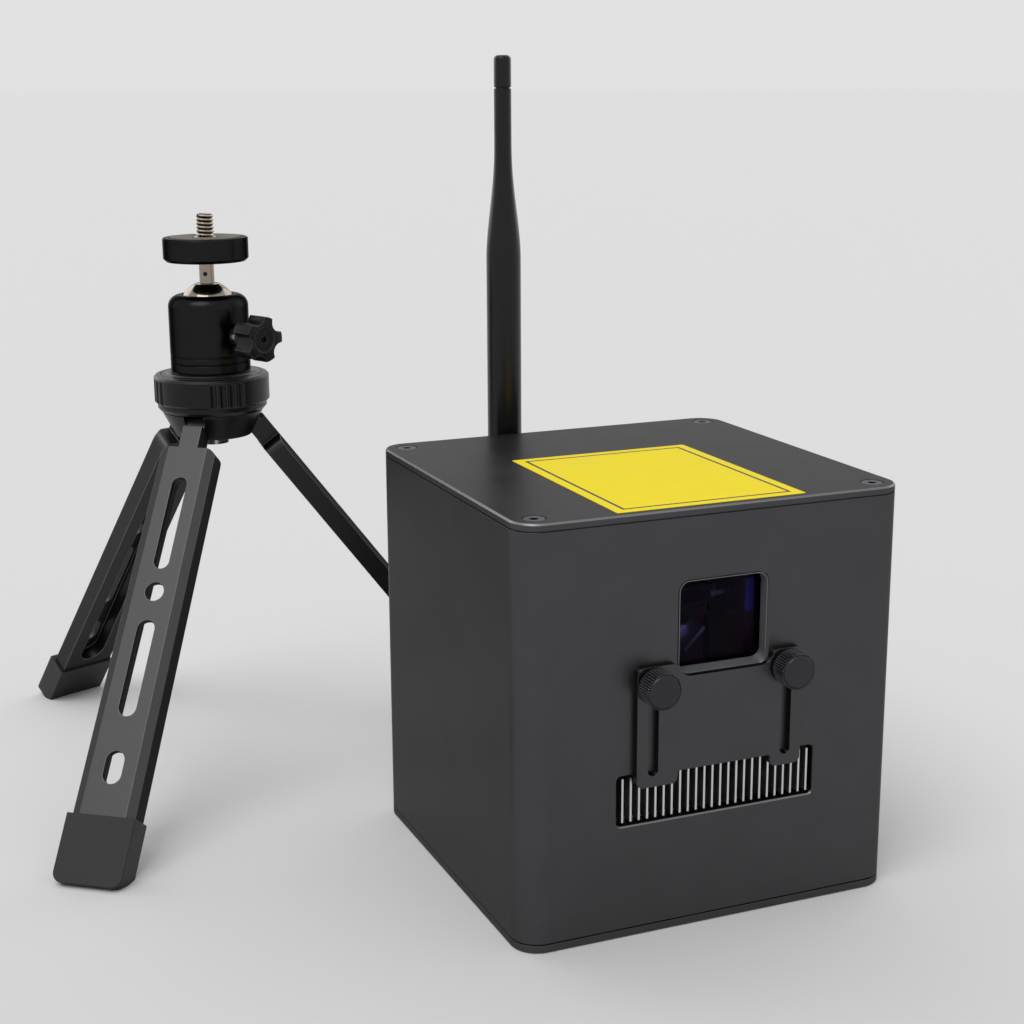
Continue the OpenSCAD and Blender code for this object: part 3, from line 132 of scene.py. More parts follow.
@dataclass(frozen=True)
class Finish:
    """One real surface finish, as its maker would specify it.

    The grain is a relief of a real size and depth. Colour and gloss wander a little over a larger patch,
    because no dyed, moulded or machined surface is even. Edges are rounded by a small real radius, and
    may get a painted highlight in another colour.
    """

    name: str
    colour: str
    roughness: float
    metallic: float = 0.0
    edge_tint: str = "#ffffff"
    ior: float = 1.5
    transmission: float = 0.0
    grain: Grain = Grain.MOULDED
    grain_mm: float = 0.4
    grain_depth_mm: float = 0.004
    wander_mm: float = 14.0
    colour_wander: float = 0.06
    gloss_wander: float = 0.06
    edge_mm: float = 0.25
    edge_highlight: str = ""

    def height(self, tree: bpy.types.NodeTree, place: Socket) -> Socket:
        """Draws the fine relief.

        Args:
            tree: The material's nodes.
            place: Object coordinates.

        Returns:
            The relief's height from 0 to 1.
        """
        if self.grain is Grain.DRAWN:
            stretched = add_node(tree, "ShaderNodeMapping", {"Vector": place, "Scale": DRAWN_SCALE})
            place = stretched.outputs["Vector"]
        noise = add_node(
            tree,
            "ShaderNodeTexNoise",
            {"Vector": place, "Scale": 1 / (self.grain_mm * MM), "Detail": 2.0, "Roughness": 0.6},
        )
        return noise.outputs["Fac"]

    def tones(self, tree: bpy.types.NodeTree, place: Socket) -> Tones:
        """Lists the tones that lie over the colour. A plain finish has none.

        Args:
            tree: The material's nodes. Not used.
            place: Object coordinates. Not used.

        Returns:
            Each tone's share of the surface, from 0 to 1, and its colour, the lowest tone first.
        """
        return []

    def edge_highlight_share(self, tree: bpy.types.NodeTree, rounded: Socket) -> Socket:
        """Finds the edges for the painted highlight, where the rounded normal leaves the flat one.

        Args:
            tree: The material's nodes.
            rounded: The normal with its edges rounded.

        Returns:
            The painted highlight's share from 0 to 1.
        """
        flat = add_node(tree, "ShaderNodeNewGeometry").outputs["Normal"]
        turn = add_node(tree, "ShaderNodeVectorMath", {0: rounded, 1: flat}, operation="DOT_PRODUCT")
        begins, full = EDGE_HIGHLIGHT_COSINES
        share = add_node(
            tree,
            "ShaderNodeMapRange",
            {"Value": turn.outputs["Value"], "From Min": begins, "From Max": full},
        )
        return share.outputs["Result"]

    def colour_socket(self, tree: bpy.types.NodeTree, wander: Socket, tones: Tones) -> Socket:
        """Varies the colour a little over the surface and lays the tones over it.

        Args:
            tree: The material's nodes.
            wander: Slow noise from 0 to 1.
            tones: Each tone's share and colour, the lowest first.

        Returns:
            The surface's colour.
        """
        base = linear(self.colour)[:3]
        dark = [part * (1 - self.colour_wander) for part in base] + [1.0]
        pale = [part * (1 + self.colour_wander) for part in base] + [1.0]
        mix = add_node(tree, "ShaderNodeMix", {0: wander, 6: dark, 7: pale}, data_type="RGBA")
        for share, tone in tones:
            layer = {0: share, 6: mix.outputs[2], 7: linear(tone)}
            mix = add_node(tree, "ShaderNodeMix", layer, data_type="RGBA")
        return mix.outputs[2]

    def build(self) -> bpy.types.Material:
        """Makes the Blender material, once for each name.

        Returns:
            The material.
        """
        known = bpy.data.materials.get(self.name)
        if known:
            return known
        material = bpy.data.materials.new(self.name)
        material.use_nodes = True
        tree = material.node_tree
        shader = tree.nodes["Principled BSDF"]
        place = add_node(tree, "ShaderNodeTexCoord").outputs["Object"]
        slow = add_node(
            tree,
            "ShaderNodeTexNoise",
            {"Vector": place, "Scale": 1 / (self.wander_mm * MM), "Detail": 4.0},
        )
        wander = add_node(
            tree,
            "ShaderNodeMapRange",
            {"Value": slow.outputs["Fac"], "From Min": NOISE_SPAN[0], "From Max": NOISE_SPAN[1]},
        ).outputs["Result"]
        gloss = add_node(
            tree,
            "ShaderNodeMapRange",
            {
                "Value": wander,
                "To Min": self.roughness * (1 - self.gloss_wander),
                "To Max": min(1.0, self.roughness * (1 + self.gloss_wander)),
            },
        )
        relief: dict[str | int, object] = {
            "Height": self.height(tree, place),
            "Distance": self.grain_depth_mm * MM,
        }
        tones = self.tones(tree, place)
        if self.edge_mm > 0:
            edge = add_node(tree, "ShaderNodeBevel", {"Radius": self.edge_mm * MM}, samples=EDGE_SAMPLES)
            relief["Normal"] = edge.outputs["Normal"]
            # The edges get a painted highlight in a paler colour.
            if self.edge_highlight:
                tones.append((self.edge_highlight_share(tree, edge.outputs["Normal"]), self.edge_highlight))
        bump = add_node(tree, "ShaderNodeBump", relief)
        tree.links.new(self.colour_socket(tree, wander, tones), shader.inputs["Base Color"])
        tree.links.new(gloss.outputs["Result"], shader.inputs["Roughness"])
        tree.links.new(bump.outputs["Normal"], shader.inputs["Normal"])
        shader.inputs["Metallic"].default_value = self.metallic
        shader.inputs["Transmission Weight"].default_value = self.transmission
        shader.inputs["Specular Tint"].default_value = linear(self.edge_tint)
        if self.metallic == 0:
            shader.inputs["IOR"].default_value = self.ior
        return material


@dataclass(frozen=True)
class AnodisedPlate(Finish):
    """Dyed anodised plate whose narrow bevels get a painted highlight, a paler colour than its faces."""

    bevel_highlight: str = "#7f8083"
    bevel_rise: float = 0.7
    bevel_span: float = 0.15

    def tones(self, tree: bpy.types.NodeTree, place: Socket) -> Tones:
        """Paints a highlight on the faces that lean by about 45 degrees.

        Args:
            tree: The material's nodes.
            place: Object coordinates. Not used.

        Returns:
            The bevels' share and the colour of their painted highlight.
        """
        normal = add_node(tree, "ShaderNodeTexCoord").outputs["Normal"]
        rise = add_node(tree, "ShaderNodeSeparateXYZ", {"Vector": normal}).outputs["Z"]
        size = add_node(tree, "ShaderNodeMath", {0: rise}, operation="ABSOLUTE").outputs["Value"]
        near = {0: size, 1: self.bevel_rise, 2: self.bevel_span}
        share = add_node(tree, "ShaderNodeMath", near, operation="COMPARE").outputs["Value"]
        return [(share, self.bevel_highlight)]


@dataclass(frozen=True, kw_only=True)
class Cut(Finish):
    """Metal with a knurl or a thread cut round an axis: its sides are paler, and its grooves darker with
    their depth. On a plated thread these are a painted highlight and a painted shade.
    """

    centre: Triple
    root_mm: float
    crest_mm: float
    axis: int = 1
    crest_colour: str = "#c8c8cc"
    groove_colour: str = "#0b0b0b"
    end_share: float = 0.9

    def local(self, tree: bpy.types.NodeTree, place: Socket) -> Socket:
        """Moves the coordinates to the axis."""
        shift = tuple(-part * MM for part in self.centre)
        return add_node(tree, "ShaderNodeMapping", {"Vector": place, "Location": shift}).outputs["Vector"]

    def tones(self, tree: bpy.types.NodeTree, place: Socket) -> Tones:
        """Darkens the side's grooves by their distance from the axis, and leaves the end face alone.

        Args:
            tree: The material's nodes.
            place: Object coordinates.

        Returns:
            The crests' and the grooves' shares and colours.
        """
        flat = tuple(0.0 if i == self.axis else 1.0 for i in range(3))
        across = add_node(
            tree, "ShaderNodeVectorMath", {0: self.local(tree, place), 1: flat}, operation="MULTIPLY"
        )
        radius = add_node(tree, "ShaderNodeVectorMath", {0: across.outputs["Vector"]}, operation="LENGTH")
        depth = add_node(
            tree,
            "ShaderNodeMapRange",
            {
                "Value": radius.outputs["Value"],
                "From Min": self.crest_mm * MM,
                "From Max": self.root_mm * MM,
            },
        ).outputs["Result"]
        normal = add_node(tree, "ShaderNodeTexCoord").outputs["Normal"]
        along = add_node(tree, "ShaderNodeSeparateXYZ", {"Vector": normal}).outputs[self.axis]
        size = add_node(tree, "ShaderNodeMath", {0: along}, operation="ABSOLUTE").outputs["Value"]
        side = add_node(tree, "ShaderNodeMath", {0: size, 1: self.end_share}, operation="LESS_THAN")
        crests = side.outputs["Value"]
        grooves = add_node(tree, "ShaderNodeMath", {0: crests, 1: depth}, operation="MULTIPLY")
        return [(crests, self.crest_colour), (grooves.outputs["Value"], self.groove_colour)]


@dataclass(frozen=True)
class TurnedFace(Cut):
    """Cut metal whose end is faced off on a lathe, with rings a tool's feed apart round the axis along Y."""

    feed_mm: float = 0.35

    def height(self, tree: bpy.types.NodeTree, place: Socket) -> Socket:
        """Draws the tool's rings round the axis.

        Args:
            tree: The material's nodes.
            place: Object coordinates.

        Returns:
            The relief's height from 0 to 1.
        """
        # A wave of scale 1 runs through 20 radians in a metre.
        scale = math.tau / (20 * self.feed_mm * MM)
        rings = add_node(
            tree,
            "ShaderNodeTexWave",
            {"Vector": self.local(tree, place), "Scale": scale, "Distortion": 0.4},
            wave_type="RINGS",
            rings_direction="Y",
        )
        return rings.outputs["Fac"]


@dataclass(frozen=True, kw_only=True)
class TwoLevel(Finish):
    """A finish that changes past a plane: parts that stand off a green board, and the painted shade in a
    screw's socket.
    """

    face_mm: float
    side: int
    axis: int = 2
    far_colour: str = "#141416"
    gap_mm: float = 0.1

    def tones(self, tree: bpy.types.NodeTree, place: Socket) -> Tones:
        """Changes the colour of what lies past the plane.

        Args:
            tree: The material's nodes.
            place: Object coordinates.

        Returns:
            The far side's share and colour.
        """
        along = add_node(tree, "ShaderNodeSeparateXYZ", {"Vector": place}).outputs[self.axis]
        limit = (self.face_mm + self.side * self.gap_mm) * MM
        kind = "GREATER_THAN" if self.side > 0 else "LESS_THAN"
        share = add_node(tree, "ShaderNodeMath", {0: along, 1: limit}, operation=kind).outputs["Value"]
        return [(share, self.far_colour)]


@dataclass(frozen=True, kw_only=True)
class ScrewHeads(TwoLevel):
    """Four blackened screws in a rectangle, with painted shade in their sockets and a painted shadow line
    round each head.
    """

    centre: Point
    line_mm: float = 2.95

    def tones(self, tree: bpy.types.NodeTree, place: Socket) -> Tones:
        """Paints shade on each head's rim by its distance from the screw's axis.

        Args:
            tree: The material's nodes.
            place: Object coordinates.

        Returns:
            The sockets' and the rims' shares and the colour of their painted shade.
        """
        folded = add_node(tree, "ShaderNodeVectorMath", {0: place}, operation="ABSOLUTE").outputs["Vector"]
        axis = tuple(part * MM for part in self.centre) + (0.0,)
        local = add_node(tree, "ShaderNodeVectorMath", {0: folded, 1: axis}, operation="SUBTRACT")
        level = {0: local.outputs["Vector"], 1: (1, 1, 0)}
        flat = add_node(tree, "ShaderNodeVectorMath", level, operation="MULTIPLY")
        radius = add_node(tree, "ShaderNodeVectorMath", {0: flat.outputs["Vector"]}, operation="LENGTH")
        past = {0: radius.outputs["Value"], 1: self.line_mm * MM}
        rim = add_node(tree, "ShaderNodeMath", past, operation="GREATER_THAN")
        return [*super().tones(tree, place), (rim.outputs["Value"], self.far_colour)]


@dataclass(frozen=True, kw_only=True)
class MilledBar(Finish):
    """Anodised bar whose flanks and bevels get a painted shade, a colour unlike its blasted outer face."""

    outward: Triple
    flank_shade: str
    face_cosine: float = 0.96

    def tones(self, tree: bpy.types.NodeTree, place: Socket) -> Tones:
        """Paints shade on the faces that turn away from the outer face.

        Args:
            tree: The material's nodes.
            place: Object coordinates. Not used.

        Returns:
            The flanks' share and the colour of their painted shade.
        """
        normal = add_node(tree, "ShaderNodeTexCoord").outputs["Normal"]
        facing = add_node(tree, "ShaderNodeVectorMath", {0: normal, 1: self.outward}, operation="DOT_PRODUCT")
        below = {0: facing.outputs["Value"], 1: self.face_cosine}
        share = add_node(tree, "ShaderNodeMath", below, operation="LESS_THAN")
        return [(share.outputs["Value"], self.flank_shade)]


# Blasted, turned, drawn and textured grains are 0.05 to 0.15 mm on the real part. They are drawn two to
# five times as coarse, as coarse as they need to be to show in a render. The cork's granules and the slow
# waves of polished and printed surfaces have their real size.

# Bead blasting and a dyed oxide film leave a satin black that reflects only blurred shapes; its bevels get a
# painted highlight.
HOUSING_BLACK = AnodisedPlate(
    "Black anodised aluminium, bead blasted",
    "#4d4d4f",
    0.36,
    metallic=1.0,
    edge_tint="#c6c6c6",
    grain=Grain.BLASTED,
    grain_mm=0.35,
    grain_depth_mm=0.0025,
    colour_wander=0.04,
)
# The tripod head is turned from bar and dyed a deeper black, so it is glossier than the housing.
HEAD_BLACK = Finish(
    "Black anodised aluminium, turned",
    "#262627",
    0.27,
    metallic=1.0,
    edge_tint="#a8a8a8",
    grain=Grain.TURNED,
    grain_mm=0.25,
    grain_depth_mm=0.0012,
    edge_mm=0.4,
)
# The heat sink is drawn, its fins are milled and nothing coats it, so it is the brightest metal in front.
MILLED_ALUMINIUM = Finish(
    "Aluminium, milled and left bare",
    "#d6d7d8",
    0.3,
    metallic=1.0,
    grain=Grain.DRAWN,
    grain_mm=0.2,
    grain_depth_mm=0.002,
    edge_mm=0.1,
)
# Blackened steel keeps a slight sheen of oil.
BLACK_OXIDE = Finish(
    "Steel, black oxide",
    "#5a5a5c",
    0.3,
    metallic=1.0,
    edge_tint="#c8c8c8",
    grain=Grain.TURNED,
    grain_mm=0.2,
    grain_depth_mm=0.002,
    edge_mm=0.12,
)
# The hub's bolt is turned and left bare, so it is greyer and duller than the plated parts.
BRIGHT_STEEL = Finish(
    "Steel, turned bright",
    "#a9a9ab",
    0.24,
    metallic=1.0,
    grain=Grain.TURNED,
    grain_mm=0.2,
    grain_depth_mm=0.002,
    edge_mm=0.15,
)
# Nickel plate is warmer than chrome and mirrors what stands round it.
NICKEL = Finish(
    "Nickel plate, polished",
    "#988f83",
    0.14,
    metallic=1.0,
    grain=Grain.POLISHED,
    grain_mm=1.5,
    grain_depth_mm=0.001,
    edge_mm=0.12,
)
# The diodes' barrels are a dull, warm yellow.
BRASS = Finish("Brass, turned", "#b8935a", 0.28, metallic=1.0, grain=Grain.TURNED, grain_mm=0.2)
# Gold plate does not tarnish, so the antenna's socket stays a bright yellow.
GOLD_PLATE = Finish("Gold plate on brass", "#d9b25f", 0.2, metallic=1.0, grain=Grain.POLISHED)
# Moulded nylon carries the tool's spark-eroded texture, so its highlights are broad and dull. Its edges get a
# paler painted highlight.
NYLON = Finish(
    "Nylon, moulded black",
    "#0b0b0c",
    0.34,
    ior=1.34,
    grain_mm=0.45,
    grain_depth_mm=0.012,
    edge_mm=0.35,
    edge_highlight="#4a4a4c",
)
# ABS takes a finer texture from its tool than nylon, so it is a little glossier.
ABS_BLACK = Finish("ABS, moulded black", "#121213", 0.22, ior=1.45, grain_mm=0.5, grain_depth_mm=0.004)
# The antenna's sheath is polished by its mould along the rod, so its highlights are narrow upright lines.
SHEATH_BLACK = Finish(
    "Thermoplastic sheath, moulded black", "#0b0b0c", 0.26, ior=1.38, grain_mm=0.9, grain_depth_mm=0.002
)
# The switch comes from a polished tool, so it mirrors the lamps as small, sharp spots.
GLOSS_BLACK = Finish("ABS, moulded glossy black", "#18181a", 0.14, grain_mm=2.0, grain_depth_mm=0.001)
# Rubber scatters the light, so the feet have a grey bloom and no sharp highlight.
RUBBER = Finish(
    "Rubber, moulded black", "#1e1e1f", 0.5, ior=1.42, grain_mm=0.5, grain_depth_mm=0.02, edge_mm=0.6
)
# The pad's cork and rubber granules are seen as pale and dark grains.
CORK_PAD = Finish(
    "Cork and rubber pad",
    "#6b665f",
    0.8,
    grain_mm=0.7,
    grain_depth_mm=0.08,
    wander_mm=0.9,
    colour_wander=0.3,
    edge_mm=0.1,
)
# Silicone is matt, so the gasket is a dark line round the glass.
GASKET = Finish("Silicone gasket, black", "#161616", 0.6, grain_mm=0.5, grain_depth_mm=0.01)
# The window's coat mirrors little, and only violet, and greys what lies behind the glass.
WINDOW = Finish(
    "Glass, violet anti-reflection coat",
    "#b4aec4",
    0.0,
    edge_tint="#1e1a36",
    transmission=1.0,
    grain_depth_mm=0.0,
    edge_mm=0.0,
)
# A dichroic coat mirrors lavender and lets the rest through.
DICHROIC = Finish("Glass, dichroic coated", "#b9a9d6", 0.06, metallic=1.0, grain_depth_mm=0.0, edge_mm=0.05)
# The scanner's block is dyed plum, which shows only where light falls straight on it through the window.
PLUM_ANODISED = Finish("Plum anodised aluminium", "#5e2a48", 0.4, grain_mm=0.3, grain_depth_mm=0.002)
# The window's frame is cut after blasting, so its bevel is smooth; its grey, paler than the housing, is
# painted light falling on the bevel.
BEZEL_LIT_GREY = Finish(
    "Anodised aluminium, milled bevel, painted lit grey", "#7e7e82", 0.35, metallic=0.5, grain_mm=0.4, grain_depth_mm=0.001
)
# The scanner's clamp strip is dyed blue, and shows at the window's upper right corner.
BLUE_ANODISED = Finish(
    "Blue anodised aluminium", "#6c74ff", 0.35, metallic=0.3, grain_mm=0.3, grain_depth_mm=0.002
)
# The scanning mirrors' coat gives the silver a faint violet.
SCAN_MIRROR = Finish(
    "Scanning mirror, silvered", "#b9b4d2", 0.3, metallic=1.0, grain_depth_mm=0.0, edge_mm=0.05
)
# Vinyl film is an even, strong yellow with a soft sheen. Its low IOR keeps the sheen from bleaching it.
LABEL_YELLOW = Finish(
    "Vinyl film, yellow",
    "#ffe70c",
    0.55,
    ior=1.22,
    grain_mm=1.2,
    grain_depth_mm=0.004,
    colour_wander=0.02,
    edge_mm=0.0,
)
# Screen ink lies on the film as an even black line, nearly matt.
LABEL_INK = Finish("Screen ink, black", "#17160c", 0.5, grain_mm=0.4, grain_depth_mm=0.002, edge_mm=0.0)
# Pad-printed ink is thin, even and nearly matt.
WHITE_INK = Finish("Pad-printed ink, white", "#e4e4e0", 0.5, grain_mm=0.4, grain_depth_mm=0.002, edge_mm=0.0)


def joint_point(name: str) -> Vector:
    """Finds a joint's point on its axis, in metres."""
    joints = frame["record"]["behaviour"]["joints"]
    return Vector(next(joint["pos_m"] for joint in joints if joint["name"] == name))


def dress(finish: Finish, nodes: Iterable[str]) -> None:
    """Gives CAD nodes a finish.

    Args:
        finish: The finish.
        nodes: The nodes' names.
    """
    material = finish.build()
    for name in nodes:
        for place in frame["nodes"][name].material_slots:
            place.material = material
        LOG.info("%s: %s", name, finish.name)


def finish_piece(
    piece: bpy.types.Object, finish: Finish, body: str, instead_of: Sequence[str] = ()
) -> bpy.types.Object:
    """Gives a finished mesh its material and puts it on its body.

    Args:
        piece: The object, at the origin, with its place in its mesh.
        finish: Its finish.
        body: The CAD body that it rides on.
        instead_of: CAD nodes that it stands for.

    Returns:
        The same object.
    """
    piece.data.materials.clear()
    piece.data.materials.append(finish.build())
    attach(piece, body)
    if instead_of:
        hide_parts(*instead_of)
    LOG.info("%s on %s: %d faces", piece.name, body, len(piece.data.polygons))
    return piece


def shifted(x: float, y: float, z: float) -> Matrix:
    """Makes a move by millimetres."""
    return Matrix.Translation(Vector((x, y, z)) * MM)


def rotated(degrees: float, axis: str) -> Matrix:
    """Makes a turn about one axis through the origin."""
    return Matrix.Rotation(math.radians(degrees), 4, axis)


def direction(azimuth: float, elevation: float) -> Vector:
    """Points at a place round the object.

    Args:
        azimuth: Its angle from the front in degrees, positive to the right.
        elevation: Its angle above the horizon in degrees.

    Returns:
        The unit vector towards it.
    """
    across, up = math.radians(azimuth), math.radians(elevation)
    return Vector((math.sin(across) * math.cos(up), -math.cos(across) * math.cos(up), math.sin(up)))


def mesh_object(name: str, shape: bmesh.types.BMesh, crease: float = CREASE_DEGREES) -> bpy.types.Object:
    """Makes an object from a closed shape, with outward faces and smooth shading between sharp edges.

    Args:
        name: The piece's name.
        shape: The shape in metres. It is freed.
        crease: The angle in degrees past which an edge stays sharp.

    Returns:
        The new object, at the origin.
    """
    bmesh.ops.remove_doubles(shape, verts=shape.verts, dist=0.001 * MM)
    bmesh.ops.recalc_face_normals(shape, faces=shape.faces)
    mesh = bpy.data.meshes.new(name)
    shape.to_mesh(mesh)
    shape.free()
    mesh.shade_smooth()
    mesh.set_sharp_from_angle(angle=math.radians(crease))
    piece = bpy.data.objects.new(name, mesh)
    bpy.context.scene.collection.objects.link(piece)
    return piece


def turned(profile: Sequence[Point], steps: int, place: Matrix) -> bmesh.types.BMesh:
    """Turns a profile round the Z axis into a closed shape.

    Args:
        profile: Radius and height pairs in millimetres, from the axis round to the axis again.
        steps: Faces round the axis.
        place: Where the turned shape goes, in metres.

    Returns:
        The closed shape.
    """
    shape = bmesh.new()
    rings: list[list[bmesh.types.BMVert]] = []
    for radius, height in profile:
        count = 1 if radius < 1e-6 else steps
        ring = []
        for i in range(count):
            angle = math.tau * i / steps
            local = Vector((radius * math.cos(angle), radius * math.sin(angle), height)) * MM
            ring.append(shape.verts.new(place @ local))
        rings.append(ring)
    for low, high in zip(rings, rings[1:]):
        for i in range(steps):
            lower = [low[i % len(low)], low[(i + 1) % len(low)]]
            upper = [high[(i + 1) % len(high)], high[i % len(high)]]
            unique = list(dict.fromkeys(lower + upper))
            if len(unique) > 2:
                shape.faces.new(unique)
    return shape


def round_bar(radius: float, start: float, end: float, steps: int, place: Matrix) -> bmesh.types.BMesh:
    """Makes a round bar along the Z axis.

    Args:
        radius: Its radius in millimetres.
        start: Its lower end in millimetres.
        end: Its upper end in millimetres.
        steps: Faces round the bar.
        place: Where it goes, in metres.

    Returns:
        The closed shape.
    """
    return turned([(0, start), (radius, start), (radius, end), (0, end)], steps, place)


def stacked(loops: Sequence[Sequence[Vector]], ring: bool = False) -> bmesh.types.BMesh:
    """Skins a stack of outlines that have the same number of points.

    Args:
        loops: The outlines in order, in metres.
        ring: Whether the last outline joins the first one, in place of two flat ends.

    Returns:
        The closed shape.
    """
    shape = bmesh.new()
    rows = [[shape.verts.new(point) for point in loop] for loop in loops]
    pairs = list(zip(rows, rows[1:])) + ([(rows[-1], rows[0])] if ring else [])
    for row, other in pairs:
        for j in range(len(row)):
            k = (j + 1) % len(row)
            shape.faces.new((row[j], row[k], other[k], other[j]))
    if not ring:
        shape.faces.new(rows[0])
        shape.faces.new(rows[-1])
    return shape


def arc(centre: Point, radius: float, start: float, end: float, steps: int) -> list[Point]:
    """Lists the points of an arc.

    Args:
        centre: Its centre in millimetres.
        radius: Its radius in millimetres.
        start: The first angle in degrees.
        end: The last angle in degrees.
        steps: The number of chords.

    Returns:
        The arc's points, both ends included.
    """
    angles = [math.radians(start + (end - start) * i / steps) for i in range(steps + 1)]
    return [(centre[0] + radius * math.cos(a), centre[1] + radius * math.sin(a)) for a in angles]


def round_rect(low: Point, high: Point, radius: float, steps: int = 8) -> list[Point]:
    """Lists the points of a rectangle with round corners, anticlockwise.

    Args:
        low: Its lower left corner in millimetres.
        high: Its upper right corner in millimetres.
        radius: The corners' radius in millimetres.
        steps: Chords in each corner.

    Returns:
        The outline's points.
    """
    left, right = low[0] + radius, high[0] - radius
    bottom, top = low[1] + radius, high[1] - radius
    middles = ((right, top), (left, top), (left, bottom), (right, bottom))
    points: list[Point] = []
    for i, middle in enumerate(middles):
        points += arc(middle, radius, 90 * i, 90 * (i + 1), steps)
    return points


def sheet_piece(
    name: str, loops: Sequence[Sequence[Point]], thickness: float, place: Matrix
) -> bpy.types.Object:
    """Cuts a flat sheet from an outline and its holes.

    Args:
        name: The piece's name.
        loops: The outline first, then the holes, in millimetres.
        thickness: The sheet's thickness in millimetres.
        place: Where the sheet's lower face goes, in metres.

    Returns:
        The new object, at the origin.
    """
    curve = bpy.data.curves.new(name, "CURVE")
    curve.dimensions = "2D"
    curve.fill_mode = "BOTH"
    curve.extrude = thickness * MM / 2
    for loop in loops:
        spline = curve.splines.new("POLY")
        spline.points.add(len(loop) - 1)
        for point, (x, y) in zip(spline.points, loop):
            point.co = (x * MM, y * MM, 0, 1)
        spline.use_cyclic_u = True
    holder = bpy.data.objects.new(name + "_outline", curve)
    bpy.context.scene.collection.objects.link(holder)
    bpy.context.view_layer.update()
    graph = bpy.context.evaluated_depsgraph_get()
    mesh = bpy.data.meshes.new_from_object(holder.evaluated_get(graph))
    bpy.data.objects.remove(holder)
    bpy.data.curves.remove(curve)
    shape = bmesh.new()
    shape.from_mesh(mesh)
    bpy.data.meshes.remove(mesh)
    shape.transform(place @ shifted(0, 0, thickness / 2))
    return mesh_object(name, shape)


class GeometryTree:
    """A geometry node tree that adds repeats to a base mesh and is then baked into a plain mesh."""

    def __init__(self, name: str, sizes: dict[str, float | int | Triple]) -> None:
        """Makes the tree with its named inputs.

        Args:
            name: The tree's name.
            sizes: Each input's name and value. A whole number, a decimal or three of them set its type.
        """
        self.sizes = sizes
        self.tree = bpy.data.node_groups.new(name, "GeometryNodeTree")
        face = self.tree.interface
        face.new_socket("Geometry", in_out="INPUT", socket_type="NodeSocketGeometry")
        for key, value in sizes.items():
            kind = "Vector" if isinstance(value, tuple) else "Int" if isinstance(value, int) else "Float"
            face.new_socket(key, in_out="INPUT", socket_type="NodeSocket" + kind)
        face.new_socket("Material", in_out="INPUT", socket_type="NodeSocketMaterial")
        face.new_socket("Geometry", in_out="OUTPUT", socket_type="NodeSocketGeometry")
        self.given = add_node(self.tree, "NodeGroupInput").outputs

    def close(self, repeats: Socket) -> None:
        """Joins the repeats to the base, makes them real and gives them the material.

        Args:
            repeats: The geometry that the tree adds.
        """
        join = add_node(self.tree, "GeometryNodeJoinGeometry")
        self.tree.links.new(self.given["Geometry"], join.inputs["Geometry"])
        self.tree.links.new(repeats, join.inputs["Geometry"])
        real = add_node(self.tree, "GeometryNodeRealizeInstances", {"Geometry": join.outputs["Geometry"]})
        dressed = add_node(
            self.tree,
            "GeometryNodeSetMaterial",
            {"Geometry": real.outputs["Geometry"], "Material": self.given["Material"]},
        )
        add_node(self.tree, "NodeGroupOutput", {"Geometry": dressed.outputs["Geometry"]})

    def apply(self, piece: bpy.types.Object, finish: Finish) -> bpy.types.Object:
        """Runs the tree on a piece and keeps the result as the piece's own mesh.

        Args:
            piece: The object whose mesh is the base.
            finish: The finish that the whole piece gets.

        Returns:
            The same object, with a plain mesh and no modifier.
        """
        modifier = piece.modifiers.new(self.tree.name, "NODES")
        modifier.node_group = self.tree
        values: dict[str, object] = {**self.sizes, "Material": finish.build()}
        for item in self.tree.interface.items_tree:
            if item.in_out == "INPUT" and item.name in values:
                modifier[item.identifier] = values[item.name]
        bpy.context.view_layer.update()
        graph = bpy.context.evaluated_depsgraph_get()
        mesh = bpy.data.meshes.new_from_object(piece.evaluated_get(graph))
        piece.modifiers.remove(modifier)
        old = piece.data
        piece.data = mesh
        bpy.data.meshes.remove(old)
        mesh.shade_smooth()
        mesh.set_sharp_from_angle(angle=math.radians(CREASE_DEGREES))
        return piece


def ring_of_bars(
    name: str, count: int, ring_mm: float, bar_mm: float, length_mm: float, sides: int, place: Matrix
) -> GeometryTree:
    """Makes a tree that stands equal bars in a ring, as on a knurled or ribbed grip.

    Args:
        name: The tree's name.
        count: Bars in the ring.
        ring_mm: Radius of the circle through the bars' middles.
        bar_mm: Radius of one bar.
        length_mm: Length of one bar.
        sides: Sides of one bar.
        place: Where the ring's middle goes and how its axis turns, in metres.

    Returns:
        The finished tree.
    """
    turn = place.to_euler()
    made = GeometryTree(
        name,
        {
            "Count": count,
            "Sides": sides,
            "Ring radius": ring_mm * MM,
            "Bar radius": bar_mm * MM,
            "Bar length": length_mm * MM,
            "Middle": tuple(place.translation),
            "Turn": (turn.x, turn.y, turn.z),
        },
    )
    tree, given = made.tree, made.given
    circle = add_node(
        tree, "GeometryNodeMeshCircle", {"Vertices": given["Count"], "Radius": given["Ring radius"]}
    )
    bar = add_node(
        tree,
        "GeometryNodeMeshCylinder",
        {"Vertices": given["Sides"], "Radius": given["Bar radius"], "Depth": given["Bar length"]},
    )
    index = add_node(tree, "GeometryNodeInputIndex").outputs["Index"]
    step = add_node(tree, "ShaderNodeMath", {0: math.tau, 1: given["Count"]}, operation="DIVIDE")
    angle = add_node(tree, "ShaderNodeMath", {0: index, 1: step.outputs["Value"]}, operation="MULTIPLY")
    spin = add_node(tree, "ShaderNodeCombineXYZ", {"Z": angle.outputs["Value"]})
    bars = add_node(
        tree,
        "GeometryNodeInstanceOnPoints",
        {
            "Points": circle.outputs["Mesh"],
            "Instance": bar.outputs["Mesh"],
            "Rotation": spin.outputs["Vector"],
        },
    )
    set_place = add_node(
        tree,
        "GeometryNodeTransform",
        {
            "Geometry": bars.outputs["Instances"],
            "Translation": given["Middle"],
            "Rotation": given["Turn"],
        },
    )
    made.close(set_place.outputs["Geometry"])
    return made


